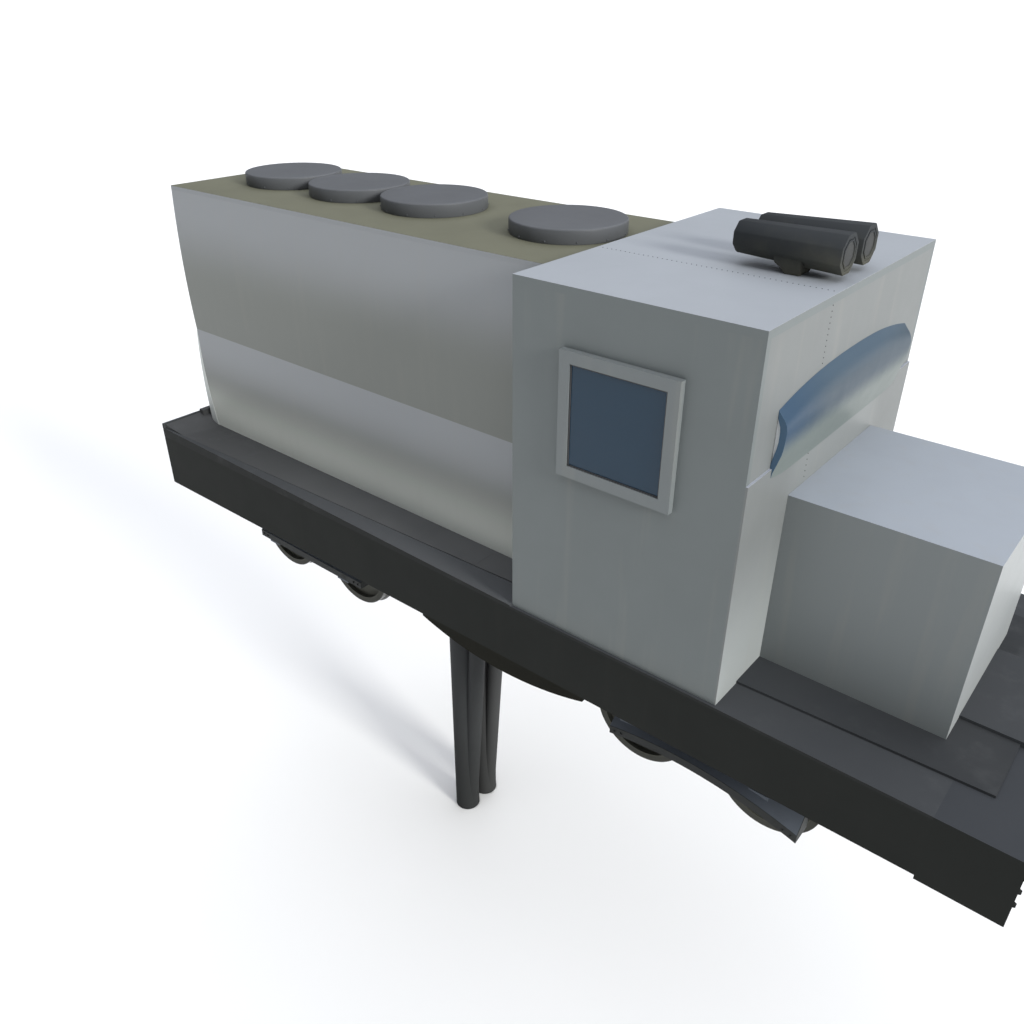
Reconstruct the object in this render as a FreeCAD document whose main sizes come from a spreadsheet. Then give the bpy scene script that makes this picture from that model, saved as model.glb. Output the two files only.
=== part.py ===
import FreeCAD, Part
import os
import Sketcher
from FreeCAD import Placement, Rotation, Vector

# A four-axle diesel locomotive that two posts hold above the ground.
# +X is forward, +Y is left and +Z is up; lengths are in millimetres.
# The origin lies on the centre line, midway between the feet of the two posts.

document = FreeCAD.newDocument("locomotive")
sheet = document.addObject("Spreadsheet::Sheet", "Sizes")
entries = []


def number(item):
    """The plain value of a size or of a number."""
    return item.value if isinstance(item, Size) else float(item)


def words(item):
    """The expression that gives a size or a number."""
    return item.text if isinstance(item, Size) else repr(float(item))


class Size:
    """A length or an angle, kept with the expression that gives it."""

    def __init__(self, value, text):
        self.value = float(value)
        self.text = text

    def __add__(self, other):
        return Size(self.value + number(other), f"({self.text} + {words(other)})")

    def __radd__(self, other):
        return Size(number(other) + self.value, f"({words(other)} + {self.text})")

    def __sub__(self, other):
        return Size(self.value - number(other), f"({self.text} - {words(other)})")

    def __rsub__(self, other):
        return Size(number(other) - self.value, f"({words(other)} - {self.text})")

    def __mul__(self, other):
        return Size(self.value * number(other), f"({self.text} * {words(other)})")

    def __rmul__(self, other):
        return Size(number(other) * self.value, f"({words(other)} * {self.text})")

    def __truediv__(self, other):
        return Size(self.value / number(other), f"({self.text} / {words(other)})")

    def __neg__(self):
        return Size(-self.value, f"(0 - {self.text})")


def size(alias, value, note):
    """Enter one driving dimension in the sheet and give it back."""
    entries.append(alias)
    row = len(entries)
    sheet.set(f"A{row}", note)
    sheet.set(f"B{row}", str(value))
    sheet.setAlias(f"B{row}", alias)
    return Size(value, f"Sizes.{alias}")


# Underframe
deck_height = size("deck_height", 4895, "deck above the feet of the posts")
frame_width = size("frame_width", 3060, "underframe over its sills")
frame_depth = size("frame_depth", 560, "deck top to the bottom of the sills, front")
sill_rear_drop = size("sill_rear_drop", 85, "sills deeper at the rear end by")
kerb_rear_width = size("kerb_rear_width", 17, "kerb along a deck edge, rear")
kerb_cab_width = size("kerb_cab_width", 282, "kerb along a deck edge, at the cab")
kerb_seam = size("kerb_seam", 8, "seam between a kerb and the walkway")
kerb_rear_rise = size("kerb_rear_rise", 90, "side kerb above the deck, rear")
kerb_front_rise = size("kerb_front_rise", 10, "side kerb above the deck, at the cab")
kerb_gap = size("kerb_gap", 6, "side kerb's front end to the cab")
end_kerb_rise = size("end_kerb_rise", 145, "rear kerb above the deck")
end_kerb_width = size("end_kerb_width", 30, "rear kerb, fore and aft")
rear_reach = size("rear_reach", 3570, "posts to the rear end of the frame")
front_porch = size("front_porch", 727, "nose to the front end of the frame")
pilot_length = size("pilot_length", 570, "front pilot box, fore and aft")
pilot_drop = size("pilot_drop", 35, "pilot below the sills")
deck_plate_thickness = size("deck_plate_thickness", 25, "deck plate")
sill_web = size("sill_web", 30, "upright plate of a side sill")
sill_flange = size("sill_flange", 170, "inward flange of a side sill")
flange_plate = size("flange_plate", 25, "thickness of a flange")
end_plate = size("end_plate", 60, "rear end beam and pilot walls")
centre_sill_gap = size("centre_sill_gap", 460, "between the two centre sills")
centre_sill_width = size("centre_sill_width", 90, "one centre sill across")
centre_sill_depth = size("centre_sill_depth", 380, "centre sill below the deck plate")
bolster_length = size("bolster_length", 420, "cross bolster, fore and aft")
bolster_depth = size("bolster_depth", 330, "cross bolster below the deck plate")
centre_bowl_radius = size("centre_bowl_radius", 190, "centre bowl over each bogie")
centre_bowl_drop = size("centre_bowl_drop", 150, "centre bowl below its bolster")
king_pin_radius = size("king_pin_radius", 60, "king pin of a bogie")
king_pin_length = size("king_pin_length", 120, "king pin below its bowl")

# Walkway plates on the deck
walkway_raise = size("walkway_raise", 22, "side walkway plates above the deck")
centre_raise = size("centre_raise", 48, "middle plates above the deck")
walkway_inner = size("walkway_inner", 500, "centre line to a walkway's inner edge")
walkway_outer_front = size("walkway_outer_front", 1110, "centre line to its outer edge, front")
ramp_rise = size("ramp_rise", 112, "walkway's rear edge above the plate")
ramp_length = size("ramp_length", 330, "steep part of the walkway's rear rise")
ramp_lip = size("ramp_lip", 2, "thin edge of the walkway's rise")
ramp_cab_gap = size("ramp_cab_gap", 650, "front end of the walkway's rise to the cab")
rear_step_rise = size("rear_step_rise", 178, "step behind the hood, above the deck")
rear_step_depth = size("rear_step_depth", 75, "step behind the hood, fore and aft")
rear_step_half = size("rear_step_half", 1030, "centre line to the step's end")
walkway_front_gap = size("walkway_front_gap", 310, "walkway's front end behind the pilot's face")
plate_gap = size("plate_gap", 0.5, "joint between two panels")

# Hood
hood_setback = size("hood_setback", 190, "frame's rear end to the hood")
hood_length = size("hood_length", 5280, "hood, fore and aft")
hood_half_width = size("hood_half_width", 959, "centre line to the hood's side")
hood_height = size("hood_height", 2816, "deck to the top of the hood")
hood_step = size("hood_step", 1215, "deck to the joint between the two tiers")
hood_bulge = size("hood_bulge", 24, "rise of each bowed side panel")
hood_wall = size("hood_wall", 45, "hood side wall at its edges")
hood_roof_plate = size("hood_roof_plate", 45, "hood roof")
hood_rear_wall = size("hood_rear_wall", 50, "rear wall of the hood")
fan_radius = size("fan_radius", 518, "roof fan cap")
fan_rise = size("fan_rise", 130, "roof fan cap above the roof")
fan_round = size("fan_round", 26, "rounded rim of a fan cap")
fan_offset = size("fan_offset", 40, "fan caps left of the centre line")
fan_first = size("fan_first", 862, "hood's rear end to the first fan")
fan_pitch = size("fan_pitch", 1073, "one rear fan to the next")
fan_front = size("fan_front", 662, "front fan behind the cab")
engine_length = size("engine_length", 2900, "engine block")
engine_width = size("engine_width", 1000, "engine block")
engine_height = size("engine_height", 1500, "engine block")
engine_setback = size("engine_setback", 1150, "engine behind the cab")

# Cab
cab_length = size("cab_length", 1955, "cab, fore and aft")
cab_half_width = size("cab_half_width", 1500, "centre line to the cab's side")
cab_height = size("cab_height", 2877, "deck to the top of the cab")
cab_wall = size("cab_wall", 50, "cab wall")
cab_roof_plate = size("cab_roof_plate", 60, "cab roof")
cab_floor_rise = size("cab_floor_rise", 90, "deck to the cab floor's top")
waist_height = size("waist_height", 1842, "deck to the ledge across the cab's front")
waist_ledge = size("waist_ledge", 16, "lower front panel forward of the upper")
window_rear = size("window_rear", 563, "cab's rear face to the side window")
window_length = size("window_length", 793, "side window opening")
window_sill = size("window_sill", 1560, "deck to the side window's opening")
window_height = size("window_height", 795, "side window opening")
frame_border = size("frame_border", 92, "side window frame around its opening")
frame_proud = size("frame_proud", 55, "side window frame outside the wall")
pane_thickness = size("pane_thickness", 12, "window panes")
pane_inset = size("pane_inset", 18, "side pane behind the frame's face")
door_width = size("door_width", 420, "opening for a cab door")
door_height = size("door_height", 1980, "opening for a cab door")
door_edge = size("door_edge", 85, "cab's side to the door's opening")
door_gap = size("door_gap", 11, "running gap round a door")
door_window_height = size("door_window_height", 620, "window in a cab door")
door_window_border = size("door_window_border", 90, "opening's edge to a door's window")
hinge_out = size("hinge_out", 16, "hinge pins outside the cab's rear face")
hinge_pin_radius = size("hinge_pin_radius", 7, "hinge pin of a door")
hinge_radius = size("hinge_radius", 13, "hinge knuckle")
hinge_height = size("hinge_height", 70, "one knuckle, up and down")
hinge_strap = size("hinge_strap", 30, "hinge pins to the end of a strap")
hinge_gap = size("hinge_gap", 1, "between two knuckles")
hinge_rise = size("hinge_rise", 240, "door opening's end to a hinge's middle")
shield_half_width = size("shield_half_width", 1160, "centre line to the windshield's end")
shield_bottom = size("shield_bottom", 1775, "deck to the windshield's lower edge at its ends")
shield_dip = size("shield_dip", 40, "lower edge deeper at the middle")
shield_top = size("shield_top", 2264, "deck to its upper edge at the ends")
shield_crown = size("shield_crown", 112, "upper edge higher at the middle")
shield_bulge = size("shield_bulge", 80, "windshield forward of the cab's front")
shield_glass = size("shield_glass", 16, "windshield glass")
shield_rim = size("shield_rim", 45, "windshield past its opening")

# Nose and roof lamps
nose_length = size("nose_length", 1448, "nose, fore and aft")
nose_half_width = size("nose_half_width", 786, "centre line to the nose's side")
nose_height = size("nose_height", 1488, "deck to the nose's top")
nose_wall = size("nose_wall", 40, "nose plates")
lamp_spread = size("lamp_spread", 185, "centre line to a roof lamp's axis")
lamp_radius = size("lamp_radius", 138, "roof lamp barrel to its flats")
lamp_taper = size("lamp_taper", 24, "how much smaller a barrel's rear end is, to its flats")
lamp_tail_lift = size("lamp_tail_lift", 12, "rise of a barrel's axis at its rear end")
lamp_length = size("lamp_length", 835, "roof lamp barrel")
lamp_setback = size("lamp_setback", 69, "lamp's face behind the cab's front")
lamp_lift = size("lamp_lift", 46, "barrel above the cab roof")
lamp_ring = size("lamp_ring", 26, "width of a ring on the lamp's face")
lamp_ring_depth = size("lamp_ring_depth", 10, "step between the rings")
lamp_foot_length = size("lamp_foot_length", 150, "foot under a barrel")
lamp_foot_width = size("lamp_foot_width", 130, "foot under a barrel")
lamp_foot_back = size("lamp_foot_back", 300, "foot's front behind the lamp's face")

# Fuel tank and posts
tank_wheel_gap = size("tank_wheel_gap", 49, "tank's front end to the front bogie's flanges")
tank_rear = size("tank_rear", 220, "posts to the tank's rear end")
tank_half_width = size("tank_half_width", 1000, "centre line to the tank's side")
tank_end_drop = size("tank_end_drop", 640, "sills' bottom to the tank's end corner")
tank_belly = size("tank_belly", 165, "belly's arc below its end corners")
tank_notch_length = size("tank_notch_length", 405, "notch round the posts")
tank_notch_half = size("tank_notch_half", 370, "centre line to the notch's side")
post_radius = size("post_radius", 155, "post")
post_spread = size("post_spread", 173, "centre line to a post's axis")
post_brace_radius = size("post_brace_radius", 110, "raking brace of a post, at its top")
post_brace_foot = size("post_brace_foot", 90, "raking brace of a post, at its foot")
post_brace_inset = size("post_brace_inset", 5, "brace's foot inside the post's face")
post_brace_reach = size("post_brace_reach", 315, "brace forward of the post at its top")
socket_radius = size("socket_radius", 115, "socket in the foot of a post")
socket_depth = size("socket_depth", 420, "socket in the foot of a post")

# Bogies
rear_overhang = size("rear_overhang", 1910, "rear bogie's centre to the frame's rear end")
front_overhang = size("front_overhang", 2500, "front bogie's centre to the frame's front end")
wheelbase = size("wheelbase", 1270, "axle to axle in a bogie")
axle_drop = size("axle_drop", 1172, "deck to an axle's centre")
wheel_radius = size("wheel_radius", 478, "wheel at its tread")
wheel_outer = size("wheel_outer", 840, "centre line to a wheel's outer face")
tread_width = size("tread_width", 135, "wheel across its rim")
flange_height = size("flange_height", 28, "flange past the tread")
flange_width = size("flange_width", 32, "flange across")
rim_depth = size("rim_depth", 70, "rim")
disc_width = size("disc_width", 32, "wheel disc between rim and hub")
hub_radius = size("hub_radius", 130, "wheel hub")
axle_radius = size("axle_radius", 80, "axle between its wheels")
journal_radius = size("journal_radius", 62, "axle end in its box")
running_gap = size("running_gap", 0.1, "running gap round a pin or a journal")
journal_end = size("journal_end", 1030, "centre line to a journal's end")
side_frame_inner = size("side_frame_inner", 905, "centre line to a side frame's inner face")
side_frame_outer = size("side_frame_outer", 1120, "centre line to a side frame's ridge")
side_frame_shoulder = size("side_frame_shoulder", 30, "flat along the top of a side frame")
side_frame_rear = size("side_frame_rear", 790, "bogie centre back to a side frame's rear end")
side_frame_front = size("side_frame_front", 1025, "bogie centre ahead to its front end")
side_frame_top = size("side_frame_top", 1000, "deck to the top of a side frame")
side_frame_end = size("side_frame_end", 1335, "deck to a side frame's front end corner")
side_frame_rear_rise = size("side_frame_rear_rise", 85, "rise of its lower edge at the rear end")
side_frame_arch = size("side_frame_arch", 160, "rise of its lower edge at the middle")
side_frame_band = size("side_frame_band", 80, "upright band along its lower edge")
box_half = size("box_half", 90, "axle box, centre to its side")
box_outer = size("box_outer", 1060, "centre line to an axle box's face")
bracket_length = size("bracket_length", 620, "bracket between side frame and transom")
bracket_plate = size("bracket_plate", 90, "bracket between side frame and transom")
transom_top_drop = size("transom_top_drop", 715, "deck to the top of a transom")
transom_length = size("transom_length", 260, "bogie transom, fore and aft")
transom_depth = size("transom_depth", 250, "bogie transom")
pivot_gap = size("pivot_gap", 6, "bowl above the bogie's centre plate")

# Couplers and cab fittings
coupler_drop = size("coupler_drop", 330, "deck to a coupler's centre")
coupler_reach = size("coupler_reach", 430, "coupler head past the end plate")
coupler_shank = size("coupler_shank", 130, "coupler shank, square")
coupler_head = size("coupler_head", 300, "coupler head across")
coupler_pivot = size("coupler_pivot", 210, "coupler's pin behind the end plate")
coupler_pin_radius = size("coupler_pin_radius", 28, "coupler's pin")
pocket_half = size("pocket_half", 130, "end opening round a shank, half across")
stand_length = size("stand_length", 420, "control stand")
stand_width = size("stand_width", 620, "control stand")
stand_height = size("stand_height", 1080, "control stand above the floor")
seat_side = size("seat_side", 480, "driver's seat")
seat_height = size("seat_height", 520, "seat above the floor")
seat_pad = size("seat_pad", 90, "seat cushion")
seat_back_height = size("seat_back_height", 560, "back of the seat")
seat_post_radius = size("seat_post_radius", 55, "seat's pedestal")
seat_offset = size("seat_offset", 780, "centre line to the seat's middle")

# Places that follow from the sizes
deck = deck_height
under_deck = deck - deck_plate_thickness
sill_bottom = deck - frame_depth
sill_rear_bottom = sill_bottom - sill_rear_drop
frame_rear = -rear_reach
frame_side = frame_width / 2
sill_inside = frame_side - sill_web
sill_outer = centre_sill_gap / 2 + centre_sill_width
hood_rear = frame_rear + hood_setback
cab_rear_face = hood_rear + hood_length
cab_front_face = cab_rear_face + cab_length
nose_front = cab_front_face + nose_length
frame_front = nose_front + front_porch
pilot_rear = frame_front - pilot_length
hood_roof_bottom = deck + hood_height - hood_roof_plate
cab_top = deck + cab_height
cab_roof_bottom = cab_top - cab_roof_plate
floor_top = deck + cab_floor_rise
axle_height = deck - axle_drop
bogie_centres = {"rear": frame_rear + rear_overhang, "front": frame_front - front_overhang}
tank_front = bogie_centres["front"] - wheelbase / 2 - wheel_radius - flange_height - tank_wheel_gap
tank_length = tank_front - tank_rear
centre_sill_bottom = under_deck - centre_sill_depth
bolster_bottom = under_deck - bolster_depth
bowl_bottom = bolster_bottom - centre_bowl_drop
centre_plate_top = bowl_bottom - pivot_gap
lamp_axis_height = cab_top + lamp_lift + lamp_radius
coupler_height = deck - coupler_drop


def bind(item, field, amount):
    """Tie one property of an object to an expression."""
    item.setExpression(field, words(amount))


def place(item, x, y, z, turn=None):
    """Tie an object's place to expressions, after an optional turn."""
    if turn is not None:
        item.Placement = Placement(Vector(), turn)
    for axis, amount in (("x", x), ("y", y), ("z", z)):
        bind(item, f"Placement.Base.{axis}", amount)


def block(label, x, y, z):
    """A box between two planes on each axis."""
    item = document.addObject("Part::Box", label)
    for field, (low, high) in (("Length", x), ("Width", y), ("Height", z)):
        bind(item, field, high - low)
    place(item, x[0], y[0], z[0])
    return item


TURNS = {
    "x": Rotation(Vector(0, 1, 0), 90),
    "y": Rotation(Vector(1, 0, 0), -90),
    "z": Rotation(),
}


def rod(label, axis, start, radius, length):
    """A cylinder from a start point along +X, +Y or +Z."""
    item = document.addObject("Part::Cylinder", label)
    bind(item, "Radius", radius)
    bind(item, "Height", length)
    place(item, *start, turn=TURNS[axis])
    return item


def join(label, *items):
    """Fuse several solids into one."""
    item = document.addObject("Part::MultiFuse", label)
    item.Shapes = list(items)
    item.Refine = True
    return item


def cut(label, base, *tools):
    """Take one or more solids out of another."""
    item = document.addObject("Part::Cut", label)
    item.Base = base
    item.Tool = tools[0] if len(tools) == 1 else join(f"{label}_tools", *tools)
    item.Refine = True
    return item


def gather(label, items):
    """Like pieces that share one sub-part and don't touch."""
    item = document.addObject("Part::Compound", label)
    item.Links = items
    return item


def new_body(label):
    """An empty body for sketched features."""
    return document.addObject("PartDesign::Body", label)


def outline(body, name, plane, shift, corners, arcs=None):
    """A closed sketch whose corners, and the radii of its arcs, are tied to expressions.

    arcs gives, for an edge's number, a point that the arc passes and its radius.
    """
    arcs = arcs or {}
    sketch = body.newObject("Sketcher::SketchObject", name)
    role = f"{plane}_Plane"
    support = next(item for item in body.Origin.OriginFeatures if item.Role == role)
    sketch.AttachmentSupport = (support, [""])
    sketch.MapMode = "FlatFace"
    bind(sketch, "AttachmentOffset.Base.z", shift)
    points = [Vector(number(x), number(y), 0) for x, y in corners]
    count = len(points)
    ends = []
    for edge in range(count):
        first = points[edge]
        second = points[(edge + 1) % count]
        if edge in arcs:
            middle = arcs[edge][0]
            through = Vector(number(middle[0]), number(middle[1]), 0)
            sketch.addGeometry(Part.Arc(first, through, second), False)
            leftward = (through - first).cross(second - through).z > 0
            ends.append((1, 2) if leftward else (2, 1))
        else:
            sketch.addGeometry(Part.LineSegment(first, second), False)
            ends.append((1, 2))
    for edge in range(count):
        after = (edge + 1) % count
        joint = Sketcher.Constraint("Coincident", edge, ends[edge][1], after, ends[after][0])
        sketch.addConstraint(joint)
    for edge, corner in enumerate(corners):
        for kind, amount in zip(("DistanceX", "DistanceY"), corner):
            held = Sketcher.Constraint(kind, -1, 1, edge, ends[edge][0], number(amount))
            index = sketch.addConstraint(held)
            sketch.setExpression(f"Constraints[{index}]", words(amount))
    for edge, (_, radius) in arcs.items():
        index = sketch.addConstraint(Sketcher.Constraint("Radius", edge, number(radius)))
        sketch.setExpression(f"Constraints[{index}]", words(radius))
    return sketch


def pad(body, name, sketch, length, backward=False):
    """Raise a sketch into a solid."""
    feature = body.newObject("PartDesign::Pad", name)
    feature.Profile = sketch
    feature.Reversed = backward
    bind(feature, "Length", length)
    sketch.Visibility = False
    return feature


def pocket(body, name, sketch, length, backward=False):
    """Cut a sketch out of a body's solid."""
    feature = body.newObject("PartDesign::Pocket", name)
    feature.Profile = sketch
    feature.Reversed = backward
    bind(feature, "Length", length)
    return feature


def run_through(body, name, sections, straight=False):
    """Run a solid through sketches, with straight or with smooth flanks."""
    loft = body.newObject("PartDesign::AdditiveLoft", name)
    loft.Profile = sections[0]
    loft.Sections = sections[1:]
    loft.Ruled = straight
    return loft


def arc_radius(chord, rise):
    """Radius of an arc from its chord and its rise."""
    return (chord * chord / 4 + rise * rise) / (2 * rise)


SIDES = (("right", -1), ("left", 1))


def span(side, near, far):
    """Two planes on one side of the centre line, in rising order."""
    return (near, far) if side > 0 else (-far, -near)


def make_deck():
    """Deck plate with a kerb across its rear end and one along each side, lower towards the cab."""
    plate = block("deck_sheet", (frame_rear, pilot_rear), (-frame_side, frame_side), (under_deck, deck))
    pieces = [plate]
    pieces.append(block("rear_kerb", (frame_rear, frame_rear + end_kerb_width), (-frame_side, frame_side),
                        (under_deck, deck + end_kerb_rise)))
    for name, side in SIDES:
        body = new_body(f"side_kerb_{name}")
        ends = []
        for tag, station, width, rise in (
                ("rear", frame_rear, kerb_rear_width, kerb_rear_rise),
                ("cab", cab_rear_face - kerb_gap, kerb_cab_width, kerb_front_rise)):
            corners = [
                (side * frame_side, under_deck),
                (side * frame_side, deck + rise),
                (side * (frame_side - width), deck + rise),
                (side * (frame_side - width), under_deck),
            ]
            ends.append(outline(body, f"side_kerb_{tag}_{name}", "YZ", station, corners))
        run_through(body, f"side_kerb_run_{name}", ends)
        pieces.append(body)
    return join("deck_plate", *pieces)


def make_underframe():
    """Deck plate, side sills, rear end beam, front pilot and centre sill."""
    nodes = [make_deck()]
    for name, side in SIDES:
        body = new_body(f"side_sill_{name}")
        ends = []
        for tag, station, low in (("rear", frame_rear + end_plate, sill_rear_bottom),
                                  ("front", pilot_rear, sill_bottom)):
            corners = [
                (side * frame_side, low),
                (side * frame_side, under_deck),
                (side * (frame_side - sill_flange), under_deck),
                (side * (frame_side - sill_flange), under_deck - flange_plate),
                (side * sill_inside, under_deck - flange_plate),
                (side * sill_inside, low + flange_plate),
                (side * (frame_side - sill_flange), low + flange_plate),
                (side * (frame_side - sill_flange), low),
            ]
            ends.append(outline(body, f"sill_{tag}_{name}", "YZ", station, corners))
        run_through(body, f"sill_run_{name}", ends)
        nodes.append(body)
    beam = block("rear_beam_plate", (frame_rear, frame_rear + end_plate), (-frame_side, frame_side),
                 (sill_rear_bottom, under_deck))
    hole = block("rear_beam_hole", (frame_rear - end_plate, frame_rear + 2 * end_plate),
                 (-pocket_half, pocket_half), (coupler_height - pocket_half, coupler_height + pocket_half))
    nodes.append(cut("rear_end_beam", beam, hole))
    nodes.append(make_pilot())
    bolsters = make_bolsters()
    nodes.append(bolsters)
    nodes.append(make_centre_sill(bolsters))
    return nodes


def make_pilot():
    """Front pilot: a box with its own deck, open below, with the coupler's opening."""
    shell = block("pilot_shell", (pilot_rear, frame_front), (-frame_side, frame_side),
                  (sill_bottom - pilot_drop, deck))
    hollow = block("pilot_hollow", (pilot_rear + flange_plate, frame_front - end_plate),
                   (-sill_inside, sill_inside), (sill_bottom - 2 * pilot_drop, under_deck))
    hole = block("pilot_hole", (frame_front - 2 * end_plate, frame_front + end_plate),
                 (-pocket_half, pocket_half), (coupler_height - pocket_half, coupler_height + pocket_half))
    gap = block("pilot_sill_gap", (pilot_rear - end_plate, pilot_rear + 2 * flange_plate),
                (-sill_outer, sill_outer), (centre_sill_bottom, under_deck))
    return cut("front_pilot", shell, hollow, hole, gap)


def make_bolsters():
    """Cross bolsters under the deck: one with its bowl and king pin over each bogie, one for the posts."""
    top = under_deck - flange_plate
    bolsters = []
    for name, centre in bogie_centres.items():
        half = bolster_length / 2
        beam = block(f"bolster_{name}", (centre - half, centre + half), (-sill_inside, sill_inside),
                     (bolster_bottom, top))
        bowl = rod(f"centre_bowl_{name}", "z", (centre, 0, bowl_bottom), centre_bowl_radius,
                   centre_bowl_drop + bolster_depth / 2)
        pin = rod(f"king_pin_{name}", "z", (centre, 0, bowl_bottom - king_pin_length), king_pin_radius,
                  king_pin_length + bolster_depth / 2)
        bolsters.append(join(f"bolster_and_pin_{name}", beam, bowl, pin))
    bolsters.append(block("post_bolster", (-(post_radius + flange_plate), post_radius + post_brace_reach),
                          (-sill_inside, sill_inside), (centre_sill_bottom, top)))
    return gather("bolsters", bolsters)


def make_centre_sill(bolsters):
    """Two centre sills that the bolsters pass through, with a plate and a pin for each coupler."""
    pieces = []
    for name, side in SIDES:
        pieces.append(block(f"centre_beam_{name}", (frame_rear + end_plate, frame_front - end_plate),
                            span(side, centre_sill_gap / 2, sill_outer), (centre_sill_bottom, under_deck)))
    for name, end, turn in (("rear", frame_rear, 1), ("front", frame_front, -1)):
        pin = end + turn * coupler_pivot
        reach = coupler_pin_radius * 3
        pieces.append(block(f"draft_plate_{name}", (pin - reach, pin + reach), (-sill_outer, sill_outer),
                            (under_deck - flange_plate, under_deck)))
        pieces.append(rod(f"coupler_pin_{name}", "z", (pin, 0, coupler_height - coupler_shank),
                          coupler_pin_radius, under_deck - coupler_height + coupler_shank))
    return cut("centre_sill", join("centre_sill_pieces", *pieces), bolsters)


def make_walkway(name, side, rear):
    """A side walkway: a flat plate, its rise towards the rear and the end of the step there."""
    front = frame_front - walkway_front_gap
    outer_rear = frame_side - kerb_rear_width - kerb_seam
    outer_cab = frame_side - kerb_cab_width - kerb_seam
    plate = new_body(f"walkway_flat_{name}")
    corners = [
        (rear, side * walkway_inner),
        (front, side * walkway_inner),
        (front, side * walkway_outer_front),
        (cab_rear_face, side * outer_cab),
        (rear, side * outer_rear),
    ]
    profile = outline(plate, f"walkway_plan_{name}", "XY", deck, corners)
    pad(plate, f"walkway_plate_{name}", profile, walkway_raise)
    base = deck + walkway_raise
    low = deck + walkway_raise / 2
    near = hood_half_width + hood_bulge
    ramp = new_body(f"walkway_ramp_{name}")
    sections = []
    for index, (reach, inner, outer) in enumerate((
            (0, ramp_rise, ramp_rise),
            (ramp_length, ramp_lip, kerb_rear_rise - kerb_front_rise - walkway_raise),
            (cab_rear_face - ramp_cab_gap - rear, ramp_lip, ramp_lip))):
        edge = outer_rear + (outer_cab - outer_rear) * reach / (cab_rear_face - rear)
        corners = [(side * near, low), (side * edge, low), (side * edge, base + outer),
                   (side * near, base + inner)]
        sections.append(outline(ramp, f"ramp_{name}_{index}", "YZ", rear + reach, corners))
    run_through(ramp, f"ramp_run_{name}", sections, straight=True)
    rest = new_body(f"walkway_rest_{name}")
    corners = [(rear, low), (hood_rear - plate_gap, low), (hood_rear - plate_gap, base + ramp_rise / 2),
               (rear, base + ramp_rise)]
    shift = -near if side > 0 else walkway_inner
    profile = outline(rest, f"rest_{name}", "XZ", shift, corners)
    pad(rest, f"rest_run_{name}", profile, near - walkway_inner)
    step = block(f"step_end_{name}", (rear, rear + rear_step_depth),
                 span(side, walkway_inner, rear_step_half), (low, deck + rear_step_rise))
    return join(f"walkway_{name}", plate, ramp, rest, step)


def make_walkways():
    """Side walkways and the middle plates behind the hood and in front of the nose."""
    rear = frame_rear + end_kerb_width + plate_gap
    nodes = [make_walkway(name, side, rear) for name, side in SIDES]
    edge = walkway_inner - plate_gap
    base = deck + walkway_raise
    strip = block("centre_strip", (rear, frame_front), (-edge, edge), (deck, base))
    front_tread = block("front_tread", (nose_front + plate_gap, frame_front), (-edge, edge),
                        (base, deck + centre_raise))
    rear_tread = block("rear_tread", (rear, hood_rear - plate_gap), (-edge, edge),
                       (base, deck + centre_raise))
    rear_step = block("rear_step", (rear, rear + rear_step_depth), (-edge, edge),
                      (base, deck + rear_step_rise))
    nodes.append(join("centre_plate", strip, front_tread, rear_tread, rear_step))
    return nodes


def make_hood():
    """Hood walls in two bowed tiers, rear wall, roof, fan caps and the engine inside."""
    nodes = []
    base = deck + walkway_raise
    step = deck + hood_step
    low_chord = step - base
    high_chord = hood_roof_bottom - step
    for name, side in SIDES:
        body = new_body(f"hood_side_{name}")
        outer = side * hood_half_width
        inner = side * (hood_half_width - hood_wall)
        crest = side * (hood_half_width + hood_bulge)
        corners = [(inner, base), (outer, base), (outer, step), (outer, hood_roof_bottom),
                   (inner, hood_roof_bottom)]
        arcs = {
            1: ((crest, (base + step) / 2), arc_radius(low_chord, hood_bulge)),
            2: ((crest, (step + hood_roof_bottom) / 2), arc_radius(high_chord, hood_bulge)),
        }
        profile = outline(body, f"hood_profile_{name}", "YZ", hood_rear, corners, arcs)
        pad(body, f"hood_run_{name}", profile, hood_length - plate_gap)
        nodes.append(body)
    inside = hood_half_width - hood_wall - plate_gap
    nodes.append(block("hood_rear_wall", (hood_rear, hood_rear + hood_rear_wall), (-inside, inside),
                       (base, hood_roof_bottom)))
    nodes.append(block("hood_roof", (hood_rear, cab_rear_face - plate_gap),
                       (-hood_half_width, hood_half_width), (hood_roof_bottom, deck + hood_height)))
    nodes.append(make_fans())
    engine_front = cab_rear_face - engine_setback
    nodes.append(block("engine_block", (engine_front - engine_length, engine_front),
                       (-engine_width / 2, engine_width / 2), (base, base + engine_height)))
    return nodes


def make_fans():
    """Four round fan caps on the hood roof, three together and one near the cab."""
    places = [hood_rear + fan_first + index * fan_pitch for index in range(3)]
    places.append(cab_rear_face - fan_front)
    caps = []
    for index, centre in enumerate(places, start=1):
        drum = rod(f"fan_drum_{index}", "z", (centre, fan_offset, deck + hood_height), fan_radius,
                   fan_rise - fan_round)
        crown = document.addObject("Part::Cone", f"fan_crown_{index}")
        bind(crown, "Radius1", fan_radius)
        bind(crown, "Radius2", fan_radius - fan_round)
        bind(crown, "Height", fan_round)
        place(crown, centre, fan_offset, deck + hood_height + fan_rise - fan_round)
        caps.append(join(f"fan_cap_{index}", drum, crown))
    return gather("roof_fans", caps)


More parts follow.
